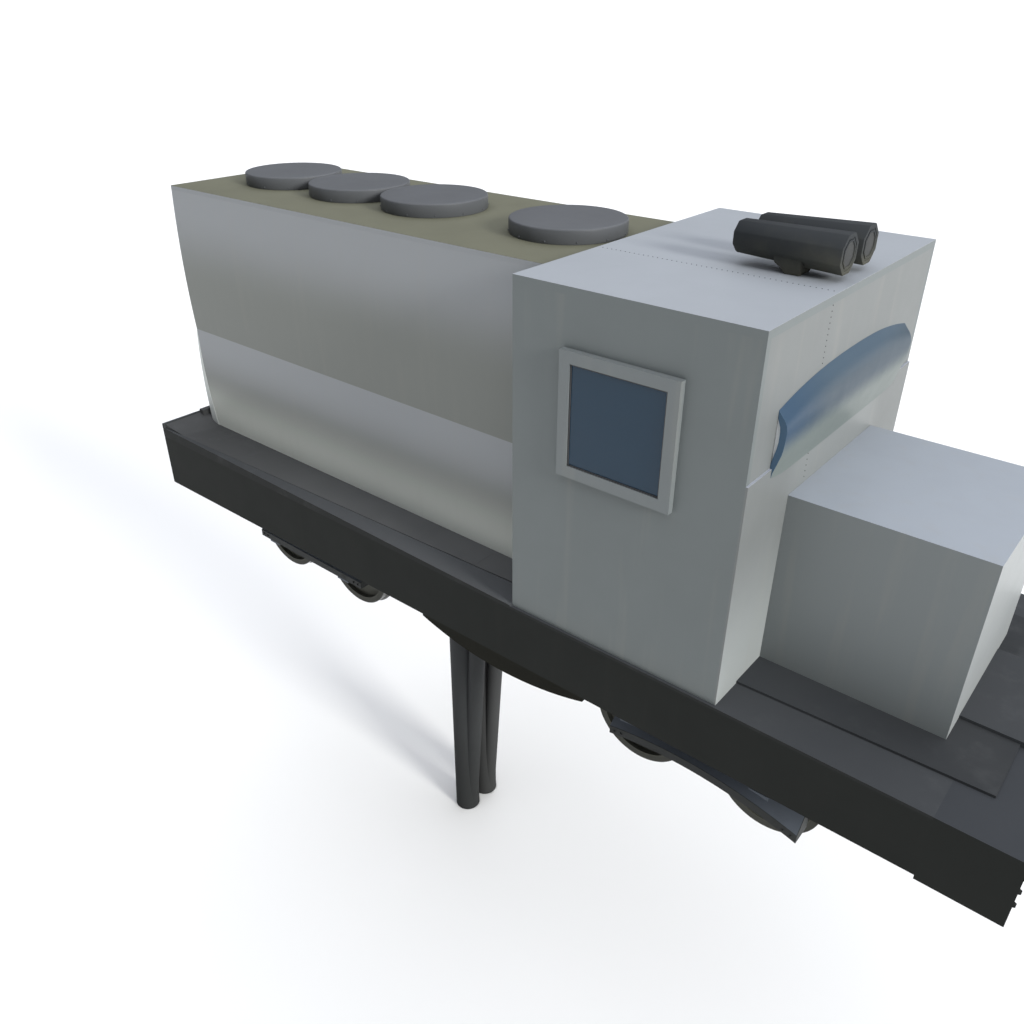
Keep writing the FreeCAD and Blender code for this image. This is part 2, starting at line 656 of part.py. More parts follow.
def make_cab():
    """Cab walls with their window openings, roof, floor and doors."""
    nodes = []
    panes = []
    plates = [document.getObject(label) for label in ("walkway_right", "walkway_left", "centre_plate")]
    rear = cab_rear_face
    front = cab_front_face
    inside = cab_half_width - cab_wall
    for name, side in SIDES:
        wall = block(f"cab_wall_{name}", (rear, front), span(side, inside, cab_half_width),
                     (deck, cab_roof_bottom))
        hole = block(f"cab_wall_hole_{name}", (rear + window_rear, rear + window_rear + window_length),
                     span(side, inside - cab_wall, cab_half_width + cab_wall),
                     (deck + window_sill, deck + window_sill + window_height))
        nodes.append(cut(f"cab_side_{name}", wall, hole))
        ring, pane = make_side_window(name, side)
        nodes.append(ring)
        panes.append(pane)
    nodes.append(gather("side_glass", panes))
    upper = block("cab_front_upper", (front - cab_wall, front), (-inside, inside),
                  (deck, cab_roof_bottom))
    lower = block("cab_front_lower", (front, front + waist_ledge), (-cab_half_width, cab_half_width),
                  (deck, deck + waist_height))
    room = shield_half_width + plate_gap
    notch = block("shield_notch", (front, front + 2 * waist_ledge), (-room, room),
                  (deck + shield_bottom - shield_dip - plate_gap, deck + waist_height + waist_ledge))
    rim = shield_half_width - shield_rim
    hole = block("shield_hole", (front - 2 * cab_wall, front + cab_wall), (-rim, rim),
                 (deck + shield_bottom + shield_rim, deck + shield_top - shield_rim))
    panels = join("cab_front_panels", upper, cut("cab_front_apron", lower, notch))
    nodes.append(cut("cab_front", panels, hole, *plates))
    nodes.append(block("cab_roof", (rear, front), (-cab_half_width, cab_half_width),
                       (cab_roof_bottom, cab_top)))
    nodes.append(block("cab_floor", (rear + cab_wall, front - cab_wall), (-inside, inside),
                       (deck + walkway_raise, floor_top)))
    nodes.extend(make_rear_wall_and_doors(rear, inside, plates))
    nodes.append(make_windshield())
    return nodes


def make_side_window(name, side):
    """A proud window frame outside the cab wall and the pane that it holds."""
    start = cab_rear_face + window_rear
    stop = start + window_length
    low = deck + window_sill
    high = low + window_height
    proud = cab_half_width + frame_proud
    ring = block(f"window_ring_{name}", (start - frame_border, stop + frame_border),
                 span(side, cab_half_width, proud), (low - frame_border, high + frame_border))
    hole = block(f"window_hole_{name}", (start, stop),
                 span(side, cab_half_width - frame_proud, proud + frame_proud), (low, high))
    pane_out = proud - pane_inset
    pane = block(f"side_glass_{name}", (start, stop), span(side, pane_out - pane_thickness, pane_out),
                 (low, high))
    return [cut(f"side_window_{name}", ring, hole), pane]


def make_hinge(tag, side, outer, middle):
    """A lift-off hinge: a wall knuckle with its pin, and the bored knuckle that sits on it."""
    line = cab_rear_face - hinge_out
    parts = []
    for kind, start, reach in (("wall", middle - hinge_height - hinge_gap / 2, hinge_strap),
                               ("leaf", middle + hinge_gap / 2, -hinge_strap)):
        barrel = rod(f"hinge_barrel_{kind}_{tag}", "z", (line, side * outer, start), hinge_radius,
                     hinge_height)
        edges = (outer, outer + reach) if kind == "wall" else (outer + reach, outer)
        strap = block(f"hinge_strap_{kind}_{tag}", (line, cab_rear_face), span(side, *edges),
                      (start, start + hinge_height))
        parts.append(join(f"hinge_{kind}_{tag}", barrel, strap))
    pin = rod(f"hinge_pin_{tag}", "z", (line, side * outer, middle - hinge_height), hinge_pin_radius,
              2 * hinge_height)
    bore = rod(f"hinge_bore_{tag}", "z", (line, side * outer, middle - hinge_height),
               hinge_pin_radius + running_gap, 3 * hinge_height)
    return join(f"hinge_fixed_{tag}", parts[0], pin), cut(f"hinge_swinging_{tag}", parts[1], bore)


def make_rear_wall_and_doors(rear, inside, plates):
    """Rear wall of the cab with a door on each side of the hood."""
    wall = block("rear_wall_plate", (rear, rear + cab_wall), (-inside, inside), (deck, cab_roof_bottom))
    tools = list(plates)
    knuckles = []
    doors = []
    low = floor_top
    high = low + door_height
    for name, side in SIDES:
        outer = cab_half_width - door_edge
        inner = outer - door_width
        tools.append(block(f"door_hole_{name}", (rear - cab_wall, rear + 2 * cab_wall),
                           span(side, inner, outer), (low, high)))
        leaf = block(f"door_leaf_{name}", (rear, rear + cab_wall),
                     span(side, inner + door_gap, outer - door_gap), (low + door_gap, high - door_gap))
        leaf_knuckles = []
        for end, middle in (("low", low + hinge_rise), ("high", high - hinge_rise)):
            fixed, swinging = make_hinge(f"{name}_{end}", side, outer, middle)
            knuckles.append(fixed)
            leaf_knuckles.append(swinging)
        window_top = high - door_window_border
        window = block(f"door_window_{name}", (rear - cab_wall, rear + 2 * cab_wall),
                       span(side, inner + door_window_border, outer - door_window_border),
                       (window_top - door_window_height, window_top))
        plain = cut(f"door_frame_{name}", leaf, window)
        doors.append(join(f"cab_door_{name}", plain, *leaf_knuckles))
        middle = rear + cab_wall / 2
        doors.append(block(f"door_glass_{name}", (middle - pane_thickness / 2, middle + pane_thickness / 2),
                           span(side, inner + door_window_border, outer - door_window_border),
                           (window_top - door_window_height, window_top)))
    return [join("cab_rear_wall", cut("rear_wall_cut", wall, *tools), *knuckles)] + doors


def shield_section(body, name, place_y, trim, dip, crown, solid):
    """One bowed section of the windshield, at a distance from the centre line."""
    base = cab_front_face + plate_gap
    low = deck + shield_bottom - dip + trim
    high = deck + shield_top + crown - trim
    bulge = shield_bulge - trim
    back = base if solid else base - plate_gap
    corners = [(base, low), (base, high)]
    if not solid:
        corners = [(back, low), *corners, (back, high)]
    edge = 1 if not solid else 0
    arcs = {edge: ((base + bulge, (low + high) / 2), arc_radius(high - low, bulge))}
    return outline(body, name, "XZ", place_y, corners, arcs)


def make_windshield():
    """A blister of curved glass across the cab's front, open behind and closed at its ends."""
    body = new_body("windshield")
    for kind, feature_type, trim in (("outer", "PartDesign::AdditiveLoft", 0),
                                     ("inner", "PartDesign::SubtractiveLoft", shield_glass)):
        reach = shield_half_width - trim
        stations = ((-reach, 0, 0), (0, shield_dip, shield_crown), (reach, 0, 0))
        solid = kind == "outer"
        sections = [shield_section(body, f"shield_{kind}_{index}", place_y, trim, dip, crown, solid)
                    for index, (place_y, dip, crown) in enumerate(stations)]
        loft = body.newObject(feature_type, f"shield_{kind}")
        loft.Profile = sections[0]
        loft.Sections = sections[1:]
    return body


def make_nose():
    """Low nose in front of the cab, a box of plates open to the deck."""
    base = deck + walkway_raise
    start = cab_front_face + waist_ledge + plate_gap
    shell = block("nose_box", (start, nose_front), (-nose_half_width, nose_half_width),
                  (base, deck + nose_height))
    hollow = block("nose_hollow", (start + nose_wall, nose_front - nose_wall),
                   (-nose_half_width + nose_wall, nose_half_width - nose_wall),
                   (base - nose_wall, deck + nose_height - nose_wall))
    return [cut("nose_shell", shell, hollow)]


def make_roof_lamps():
    """Two eight-sided lamp barrels on the cab roof, each with stepped rings and a foot."""
    nodes = []
    face = cab_front_face - lamp_setback
    corner = 0.41421356
    for name, side in SIDES:
        body = new_body(f"roof_lamp_{name}")
        rings = []
        for index, (reach, lift, start) in enumerate((
                (lamp_radius - lamp_taper, lamp_tail_lift, face - lamp_length),
                (lamp_radius, 0, face - 2 * lamp_ring_depth),
                (lamp_radius - lamp_ring, 0, face - 2 * lamp_ring_depth),
                (lamp_radius - 2 * lamp_ring, 0, face - lamp_ring_depth))):
            half = reach * corner
            ring = [(half, reach), (reach, half), (reach, -half), (half, -reach),
                    (-half, -reach), (-reach, -half), (-reach, half), (-half, reach)]
            corners = [(side * lamp_spread + y, lamp_axis_height + lift + z) for y, z in ring]
            rings.append(outline(body, f"lamp_ring_{name}_{index}", "YZ", start, corners))
        run_through(body, f"lamp_barrel_{name}", rings[:2])
        pad(body, f"lamp_step_{name}_0", rings[2], lamp_ring_depth)
        pad(body, f"lamp_step_{name}_1", rings[3], lamp_ring_depth)
        foot_front = face - lamp_foot_back
        foot_corners = [
            (side * lamp_spread - lamp_foot_width / 2, cab_top),
            (side * lamp_spread + lamp_foot_width / 2, cab_top),
            (side * lamp_spread + lamp_foot_width / 2, lamp_axis_height),
            (side * lamp_spread - lamp_foot_width / 2, lamp_axis_height),
        ]
        foot = outline(body, f"lamp_foot_{name}", "YZ", foot_front - lamp_foot_length, foot_corners)
        pad(body, f"lamp_foot_pad_{name}", foot, lamp_foot_length)
        nodes.append(body)
    return nodes


def make_tank():
    """Fuel tank with a curved belly between the bogies, notched round the posts."""
    body = new_body("fuel_tank")
    rear = tank_rear
    front = tank_front
    corner = sill_bottom - tank_end_drop
    top = centre_sill_bottom
    corners = [(rear, corner), (front, corner), (front, top), (rear, top)]
    arcs = {0: (((rear + front) / 2, corner - tank_belly), arc_radius(tank_length, tank_belly))}
    profile = outline(body, "tank_profile", "XZ", -tank_half_width, corners, arcs)
    pad(body, "tank_run", profile, 2 * tank_half_width)
    notch_corners = [
        (rear - tank_notch_length, -tank_notch_half),
        (rear + tank_notch_length, -tank_notch_half),
        (rear + tank_notch_length, tank_notch_half),
        (rear - tank_notch_length, tank_notch_half),
    ]
    notch = outline(body, "tank_notch", "XY", corner - 2 * tank_belly, notch_corners)
    pocket(body, "tank_notch_cut", notch, frame_depth + tank_end_drop + 2 * tank_belly, backward=True)
    return [body]


def make_posts():
    """Two round posts, each with a brace that rakes forward up its front and a socket in its foot."""
    posts = []
    top = centre_sill_bottom
    for name, side in SIDES:
        round_part = rod(f"post_round_{name}", "z", (0, side * post_spread, 0), post_radius, top)
        centre = side * post_spread
        foot_middle = post_radius - post_brace_inset - post_brace_foot
        head_middle = post_radius + post_brace_reach - post_brace_radius
        rings = []
        for tag, height, middle, radius in (("foot", 0, foot_middle, post_brace_foot),
                                            ("head", top, head_middle, post_brace_radius)):
            ring = document.addObject("Part::Circle", f"post_brace_{tag}_{name}")
            bind(ring, "Radius", radius)
            place(ring, middle, centre, height)
            rings.append(ring)
        brace = document.addObject("Part::Loft", f"post_brace_{name}")
        brace.Sections = rings
        brace.Solid = True
        brace.Ruled = True
        socket = rod(f"post_socket_{name}", "z", (0, side * post_spread, 0), socket_radius, socket_depth)
        posts.append(cut(f"post_{name}", join(f"post_and_brace_{name}", round_part, brace), socket))
    return [gather("posts", posts)]


def make_wheelset(label, centre):
    """An axle with its two wheels and its two journals, turned in one piece."""
    body = new_body(label)
    inner = wheel_outer - tread_width
    disc_middle = wheel_outer - tread_width / 2
    rim_inside = wheel_radius - rim_depth
    half = [
        (journal_end, 0), (journal_end, journal_radius), (wheel_outer + flange_width, journal_radius),
        (wheel_outer, hub_radius), (disc_middle + disc_width / 2, hub_radius),
        (disc_middle + disc_width / 2, rim_inside), (wheel_outer, rim_inside), (wheel_outer, wheel_radius),
        (inner + flange_width, wheel_radius), (inner + flange_width / 2, wheel_radius + flange_height),
        (inner, wheel_radius + flange_height / 2), (inner, rim_inside),
        (disc_middle - disc_width / 2, rim_inside), (disc_middle - disc_width / 2, hub_radius),
        (inner, hub_radius), (inner - flange_width, axle_radius),
    ]
    mirrored = [(-y, z) for y, z in reversed(half)]
    profile = outline(body, f"{label}_profile", "YZ", 0, half + mirrored)
    turned = body.newObject("PartDesign::Revolution", f"{label}_turned")
    turned.Profile = profile
    turned.ReferenceAxis = (profile, ["H_Axis"])
    turned.Angle = 360
    place(body, centre, 0, axle_height)
    return body


def make_side_frame(name, centre, side_name, side):
    """Side frame with a sloping flank, arched below on the front bogie, its bracket and axle boxes."""
    tag = f"{name}_{side_name}"
    top = deck - side_frame_top
    body = new_body(f"side_frame_{tag}")
    sections = []
    rises = (side_frame_rear_rise, 0) if name == "front" else (side_frame_arch, side_frame_arch)
    stations = (
        (centre - side_frame_rear, rises[0]),
        (centre, side_frame_arch),
        (centre + side_frame_front, rises[1]),
    )
    for index, (station, rise) in enumerate(stations):
        low = deck - side_frame_end + rise
        corners = [
            (side * side_frame_inner, low),
            (side * side_frame_outer, low),
            (side * side_frame_outer, low + side_frame_band),
            (side * (side_frame_inner + side_frame_shoulder), top),
            (side * side_frame_inner, top),
        ]
        sections.append(outline(body, f"side_section_{tag}_{index}", "YZ", station, corners))
    run_through(body, f"side_loft_{tag}", sections)
    pieces = [body]
    pieces.append(block(f"side_bracket_{tag}", (centre - bracket_length / 2, centre + bracket_length / 2),
                        span(side, side_frame_inner, side_frame_inner + bracket_plate),
                        (top - side_frame_band, deck - transom_top_drop)))
    for index, offset in enumerate((-wheelbase / 2, wheelbase / 2)):
        middle = centre + offset
        pieces.append(block(f"axle_box_{tag}_{index}", (middle - box_half, middle + box_half),
                            span(side, side_frame_inner, box_outer),
                            (axle_height - box_half, axle_height + box_half)))
    return pieces


def make_bogie(name, centre):
    """Bogie frame: two side frames and the transom between them, bored for journals and king pin."""
    pieces = []
    for side_name, side in SIDES:
        pieces.extend(make_side_frame(name, centre, side_name, side))
    transom_top = deck - transom_top_drop
    transom_reach = side_frame_inner + bracket_plate
    pieces.append(block(f"transom_{name}", (centre - transom_length / 2, centre + transom_length / 2),
                        (-transom_reach, transom_reach),
                        (transom_top - transom_depth, transom_top)))
    pieces.append(rod(f"centre_plate_{name}", "z", (centre, 0, transom_top - transom_depth),
                      centre_bowl_radius, centre_plate_top - transom_top + transom_depth))
    holes = [rod(f"king_hole_{name}", "z", (centre, 0, transom_top - 2 * transom_depth),
                 king_pin_radius + running_gap, 4 * transom_depth)]
    for index, offset in enumerate((-wheelbase / 2, wheelbase / 2)):
        holes.append(rod(f"journal_hole_{name}_{index}", "y",
                         (centre + offset, -journal_end - running_gap, axle_height),
                         journal_radius + running_gap, 2 * (journal_end + running_gap)))
    nodes = [cut(f"bogie_{name}", join(f"bogie_pieces_{name}", *pieces), *holes)]
    for index, offset in enumerate((-wheelbase / 2, wheelbase / 2), start=1):
        nodes.append(make_wheelset(f"wheelset_{name}_{index}", centre + offset))
    return nodes


def make_coupler(name, end, turn):
    """Coupler: a shank that swings on its pin, and a hooked head outside the end plate."""
    pin = end + turn * coupler_pivot
    body = new_body(f"coupler_{name}")
    half = coupler_shank / 2
    head = coupler_head / 2
    out = -turn
    start = pin - turn * (-half)
    neck = end + out * (coupler_reach - coupler_head)
    tip = end + out * coupler_reach
    corners = [
        (start, -half), (neck, -half), (neck, -head), (tip, -head), (tip, -head / 3),
        (neck + out * half, 0), (neck + out * half, head / 2), (tip, head / 2), (tip, head),
        (neck, head), (neck, half), (start, half),
    ]
    profile = outline(body, f"coupler_plan_{name}", "XY", coupler_height - half, corners)
    pad(body, f"coupler_block_{name}", profile, coupler_shank)
    hole = rod(f"coupler_bore_{name}", "z", (pin, 0, coupler_height - coupler_shank),
               coupler_pin_radius + running_gap, 2 * coupler_shank)
    return cut(f"{name}_coupler", body, hole)


def make_cab_fittings():
    """Control stand and driver's seat."""
    stand_front = cab_front_face - cab_wall - 2 * door_edge
    stand_side = span(-1, seat_offset - stand_width / 2, seat_offset + stand_width / 2)
    desk = block("stand_body", (stand_front - stand_length, stand_front), stand_side,
                 (floor_top, floor_top + stand_height))
    slope = document.addObject("Part::Wedge", "stand_slope")
    bind(slope, "Xmin", 0)
    bind(slope, "Xmax", stand_width)
    bind(slope, "X2min", 0)
    bind(slope, "X2max", stand_width)
    bind(slope, "Ymin", 0)
    bind(slope, "Ymax", stand_height / 4)
    bind(slope, "Zmin", 0)
    bind(slope, "Zmax", stand_length / 2)
    bind(slope, "Z2min", 0)
    bind(slope, "Z2max", 0.5)
    turn = Rotation(Vector(0, 1, 0), Vector(0, 0, 1), Vector(1, 0, 0), "ZXY")
    place(slope, stand_front - stand_length / 2, stand_side[0], floor_top + stand_height, turn=turn)
    stand = join("control_stand", desk, slope)
    middle = stand_front - stand_length - seat_side
    seat_low = floor_top + seat_height - seat_pad
    cushion = block("seat_cushion", (middle - seat_side / 2, middle + seat_side / 2),
                    span(-1, seat_offset - seat_side / 2, seat_offset + seat_side / 2),
                    (seat_low, floor_top + seat_height))
    back = block("seat_back", (middle - seat_side / 2, middle - seat_side / 2 + seat_pad),
                 span(-1, seat_offset - seat_side / 2, seat_offset + seat_side / 2),
                 (floor_top + seat_height, floor_top + seat_height + seat_back_height))
    pedestal = rod("seat_pedestal", "z", (middle, -seat_offset, floor_top), seat_post_radius,
                   seat_height - seat_pad)
    return [stand, join("driver_seat", cushion, back, pedestal)]


def make_all():
    """Every sub-part of the locomotive, in building order."""
    nodes = make_underframe()
    nodes += make_walkways()
    nodes += make_hood()
    nodes += make_cab()
    nodes += make_nose()
    nodes += make_roof_lamps()
    nodes += make_tank()
    nodes += make_posts()
    nodes += make_cab_fittings()
    for name, centre in bogie_centres.items():
        nodes += make_bogie(name, centre)
    nodes.append(make_coupler("rear", frame_rear, 1))
    nodes.append(make_coupler("front", frame_front, -1))
    return nodes


def check(nodes):
    """Stop if any object failed or any sub-part has no valid solid."""
    failed = [item.Label for item in document.Objects if {"Invalid", "Error"} & set(item.State)]
    for node in nodes:
        shape = node.Shape
        if shape.isNull() or not shape.isValid() or not shape.Solids:
            failed.append(node.Label)
    if failed:
        raise RuntimeError("failed objects: " + ", ".join(failed))


def main():
    """Build the document, check it and write one file for each sub-part."""
    nodes = make_all()
    document.recompute()
    check(nodes)
    os.makedirs("parts", exist_ok=True)
    for node in nodes:
        node.Shape.exportStep(f"parts/{node.Label}.step")


main()
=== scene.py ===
import logging
import math
from collections.abc import Mapping, Sequence
from dataclasses import dataclass, field
from enum import Enum
from functools import cache

import bmesh
import bpy
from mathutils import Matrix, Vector


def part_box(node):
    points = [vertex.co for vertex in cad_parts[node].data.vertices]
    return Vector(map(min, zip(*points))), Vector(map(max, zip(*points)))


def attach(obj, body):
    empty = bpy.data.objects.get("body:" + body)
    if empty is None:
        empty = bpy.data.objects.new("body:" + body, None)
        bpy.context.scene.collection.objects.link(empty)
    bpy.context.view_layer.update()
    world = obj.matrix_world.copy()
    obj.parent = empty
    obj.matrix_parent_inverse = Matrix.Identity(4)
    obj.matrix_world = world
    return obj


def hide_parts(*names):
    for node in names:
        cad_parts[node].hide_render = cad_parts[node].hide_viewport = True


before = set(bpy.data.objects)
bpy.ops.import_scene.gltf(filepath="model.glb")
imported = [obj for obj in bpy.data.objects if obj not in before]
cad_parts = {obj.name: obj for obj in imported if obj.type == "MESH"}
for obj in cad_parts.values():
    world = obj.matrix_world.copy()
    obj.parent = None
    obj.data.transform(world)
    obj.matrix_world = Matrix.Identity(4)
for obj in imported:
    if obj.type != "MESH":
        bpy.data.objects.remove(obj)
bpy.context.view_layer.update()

log = logging.getLogger("locomotive")

Point = tuple[float, float, float]
Colour = tuple[float, float, float, float]

DECK = 4.895
LEDGE = 0.016
FAR_OFF = 90.0
SIDES = (("right", -1.0), ("left", 1.0))


class Value:
    """A socket that takes part in sums as a number does."""

    def __init__(self, sheet: "Nodes", socket: bpy.types.NodeSocket | None) -> None:
        """Keep the socket and the tree that it belongs to."""
        self.sheet = sheet
        self.socket = socket

    def _sum(self, operation: str, first: "Value | float", second: "Value | float") -> "Value":
        """Join two values with a Math node."""
        return self.sheet.node("ShaderNodeMath", {0: first, 1: second}, operation=operation)

    def __add__(self, other: "Value | float") -> "Value":
        """Sum."""
        return self._sum("ADD", self, other)

    __radd__ = __add__

    def __sub__(self, other: "Value | float") -> "Value":
        """Difference."""
        return self._sum("SUBTRACT", self, other)

    def __rsub__(self, other: float) -> "Value":
        """Difference from a number."""
        return self._sum("SUBTRACT", other, self)

    def __mul__(self, other: "Value | float") -> "Value":
        """Product."""
        return self._sum("MULTIPLY", self, other)

    __rmul__ = __mul__

    def __pow__(self, other: float) -> "Value":
        """Power."""
        return self._sum("POWER", self, other)

    def __rpow__(self, other: float) -> "Value":
        """Power of a number."""
        return self._sum("POWER", other, self)

    def lower(self, other: "Value") -> "Value":
        """The smaller of two values."""
        return self._sum("MINIMUM", self, other)

    def size(self) -> "Value":
        """The value without its sign."""
        return self._sum("ABSOLUTE", self, 0.0)


Link = Value | float | Sequence[float]


class Nodes:
    """A node tree that is filled one node at a time."""

    def __init__(self, tree: bpy.types.NodeTree) -> None:
        """Start with an empty tree."""
        self.tree = tree
        self.tree.nodes.clear()

    def node(self, kind: str, inputs: Mapping[str | int, Link], output: str | int = 0, **settings: object) -> Value:
        """Add one node.

        Args:
            kind: the node's type.
            inputs: a value or a link for each of its sockets.
            output: which of its outputs is given back.
            settings: its properties, which are set first.

        Returns:
            The chosen output.
        """
        made = self.tree.nodes.new(kind)
        for key, setting in settings.items():
            setattr(made, key, setting)
        for key, given in inputs.items():
            if isinstance(given, Value):
                self.tree.links.new(given.socket, made.inputs[key])
            else:
                made.inputs[key].default_value = given
        return Value(self, made.outputs[output] if made.outputs else None)


class NodeSheet(Nodes):
    """A material's nodes."""

    def __init__(self, name: str) -> None:
        """Start an empty material.

        Args:
            name: the material's name.
        """
        self.material = bpy.data.materials.new(name)
        self.material.use_nodes = True
        super().__init__(self.material.node_tree)
        self.place = self.node("ShaderNodeTexCoord", {}, "Object")

    def axis(self, name: str) -> Value:
        """One axis of the object's coordinates."""
        return self.node("ShaderNodeSeparateXYZ", {0: self.place}, name)

    def stretched(self, scale: Point) -> Value:
        """The object's coordinates, scaled by axis."""
        return self.node("ShaderNodeMapping", {"Vector": self.place, "Scale": scale})

    def noise(self, scale: float, detail: float, where: Value | None = None) -> Value:
        """Cloudy noise of a scale in cells a metre."""
        return self.node("ShaderNodeTexNoise",
                         {"Vector": where or self.place, "Scale": scale, "Detail": detail, "Roughness": 0.6})

    def step(self, given: Value, low: float, high: float) -> Value:
        """A smooth rise from 0 at low to 1 at high."""
        return self.node("ShaderNodeMapRange", {"Value": given, "From Min": low, "From Max": high},
                         interpolation_type="SMOOTHSTEP")

    def blend(self, factor: Value | float, first: Link, second: Link) -> Value:
        """A colour between two."""
        return self.node("ShaderNodeMix", {0: factor, 6: first, 7: second}, 2, data_type="RGBA")

    def bump(self, height: Value, strength: float, distance: float, under: Value | None = None) -> Value:
        """A relief of a strength and a depth in metres, over another where one is given."""
        inputs = {"Height": height, "Strength": strength, "Distance": distance}
        return self.node("ShaderNodeBump", {**inputs, "Normal": under} if under else inputs)

    def surface(self, inputs: Mapping[str | int, Link]) -> bpy.types.Material:
        """End the material with its shader and give it back."""
        self.node("ShaderNodeOutputMaterial", {0: self.node("ShaderNodeBsdfPrincipled", inputs)})
        return self.material


def rgb(red: float, green: float, blue: float) -> Colour:
    """An opaque colour."""
    return (red, green, blue, 1.0)


def darker(colour: Colour, share: float) -> Colour:
    """A colour with its light scaled by a share."""
    return rgb(*(part * share for part in colour[:3]))


GREY = rgb(0.3, 0.3, 0.3)
DUST = rgb(0.30, 0.285, 0.235)
SHADE = rgb(0.01, 0.01, 0.008)
GRIME = rgb(0.06, 0.056, 0.046)


@dataclass(frozen=True)
class Finish:
    """A named finish that builds its material once."""

    name: str
    slot: str

    @cache
    def material(self) -> bpy.types.Material:
        """The finish's material."""
        return self.build(NodeSheet(self.name))


@dataclass(frozen=True)
class PlatePaint(Finish):
    """Sprayed paint on plate, with faint rain streaks and a colour that gathers low down: road dust and grime on
    most paints, painted shade on the posts.
    """

    colour: Colour
    dust: Colour = DUST
    dust_low: float = 0.0
    dust_high: float = 0.6
    dust_share: float = 0.35
    mottle: float = 0.06
    streaks: float = 0.10
    gloss: float = 0.42
    peel: float = 0.05
    shine: float = 0.22

    def coat(self, sheet: NodeSheet) -> Value:
        """The clean coat's colour."""
        tone = sheet.step(sheet.noise(1.3, 5.0), 0.25, 0.75)
        return sheet.blend(tone, darker(self.colour, 1.0 - self.mottle), darker(self.colour, 1.0 + self.mottle))

    def build(self, sheet: NodeSheet) -> bpy.types.Material:
        """Paint, low dust (painted shade on the posts), streaks and orange peel.

        Args:
            sheet: the material's nodes.

        Returns:
            The material.
        """
        cloud = sheet.noise(3.5, 6.0)
        # The colour that gathers low down is road dust and grime on most paints, and painted shade on the posts.
        low_dust_and_shade = 1.0 - sheet.step(sheet.axis("Z") + cloud * 0.35, DECK + self.dust_low, DECK + self.dust_high)
        run = sheet.step(sheet.noise(1.0, 2.0, sheet.stretched((7.0, 7.0, 0.5))), 0.52, 0.75)
        painted = sheet.blend(run * self.streaks, self.coat(sheet), self.dust)
        peel = sheet.bump(sheet.noise(260.0, 2.0), self.peel, 0.002)
        return sheet.surface({
            "Base Color": sheet.blend(low_dust_and_shade * self.dust_share, painted, self.dust),
            "Roughness": low_dust_and_shade * 0.2 + cloud * 0.1 + (self.gloss - 0.05),
            "Specular IOR Level": self.shine,
            "Normal": sheet.bump(sheet.noise(2.2, 2.0), 0.05, 0.01, peel),
        })


@dataclass(frozen=True)
class TierPaint(PlatePaint):
    """Hood side paint whose two bowed tiers each fade, as painted shade, from a lighter top to a darker foot, with
    painted light at the hood's foot.
    """

    foot: Colour = GREY
    pale: Colour = GREY
    joint: float = 1.215
    top: float = 2.771
    flat_share: float = 0.26

    def coat(self, sheet: NodeSheet) -> Value:
        """The coat's colour, with painted shade down each tier and painted light at the hood's foot.

        Args:
            sheet: the material's nodes.

        Returns:
            The colour.
        """
        height = sheet.axis("Z")
        # Painted shade: each tier darkens from its top towards the foot colour.
        low = sheet.step(height, DECK + self.joint * self.flat_share, DECK + self.joint)
        high = sheet.step(height, DECK + self.joint + (self.top - self.joint) * self.flat_share, DECK + self.top)
        upper = sheet.step(height, DECK + self.joint - 0.001, DECK + self.joint + 0.001)
        fade = low * (1.0 - upper) + high * upper + (sheet.noise(0.9, 4.0) * 0.10 - 0.05)
        tier = sheet.blend(sheet.step(fade, 0.0, 1.0), self.foot, self.colour)
        # Painted light: the pale colour at the hood's foot.
        return sheet.blend(1.0 - sheet.step(height, DECK - 0.05, DECK + 0.74), tier, self.pale)


@dataclass(frozen=True)
class RoofPaint(PlatePaint):
    """Roof paint whose sheet edges keep the colour of the walls below."""

    wall: Colour = GREY
    face: Colour = GREY
    top: float = 2.816
    ahead: float = FAR_OFF

    def coat(self, sheet: NodeSheet) -> Value:
        """The roof's colour on its top, the walls' on its edges and another on a face at its front.

        Args:
            sheet: the material's nodes.

        Returns:
            The colour.
        """
        above = sheet.step(sheet.axis("Z"), DECK + self.top - 0.0025, DECK + self.top - 0.0005)
        beyond = sheet.step(sheet.axis("X"), self.ahead - 0.003, self.ahead - 0.001)
        return sheet.blend(above, sheet.blend(beyond, self.wall, self.face), super().coat(sheet))


@dataclass(frozen=True)
class PostPaint(PlatePaint):
    """Paint of the posts, with painted light on the left one, which stands in the other's shade."""

    left: Colour = GREY

    def coat(self, sheet: NodeSheet) -> Value:
        """The coat's colour on each post."""
        return sheet.blend(sheet.step(sheet.axis("Y"), -0.01, 0.01), super().coat(sheet), self.left)


@dataclass(frozen=True)
class FacePaint(PlatePaint):
    """Paint of the cab's front, with painted light over the nose, low down and on the ledge of its lower panel."""

    foot: Colour = GREY
    ledge: Colour = GREY
    nook_painted_light: Colour = GREY
    ahead: float = FAR_OFF
    waist: float = 1.842

    def coat(self, sheet: NodeSheet) -> Value:
        """The coat's colour with its painted light.

        Args:
            sheet: the material's nodes.

        Returns:
            The colour.
        """
        height = sheet.axis("Z")
        beyond = sheet.step(sheet.axis("X"), self.ahead - 0.003, self.ahead - 0.001)
        # Painted light: the foot colour low down, the nook colour over the nose and the ledge colour on the ledge's
        # top, where the nose, glass and ledge shade the face.
        low = 1.0 - sheet.step(height, DECK, DECK + 1.45)
        nook_painted_light = (1.0 - sheet.step(sheet.axis("Y").size(), 0.5, 1.0)) * sheet.step(height, DECK + 1.2, DECK + 1.5)
        panel = sheet.blend(nook_painted_light * beyond, super().coat(sheet), self.nook_painted_light)
        ledge = sheet.step(height, DECK + self.waist - 0.0015, DECK + self.waist - 0.0005) * (
            1.0 - sheet.step(height, DECK + self.waist + 0.001, DECK + self.waist + 0.002))
        return sheet.blend(ledge, sheet.blend(low * beyond, panel, self.foot), self.ledge)


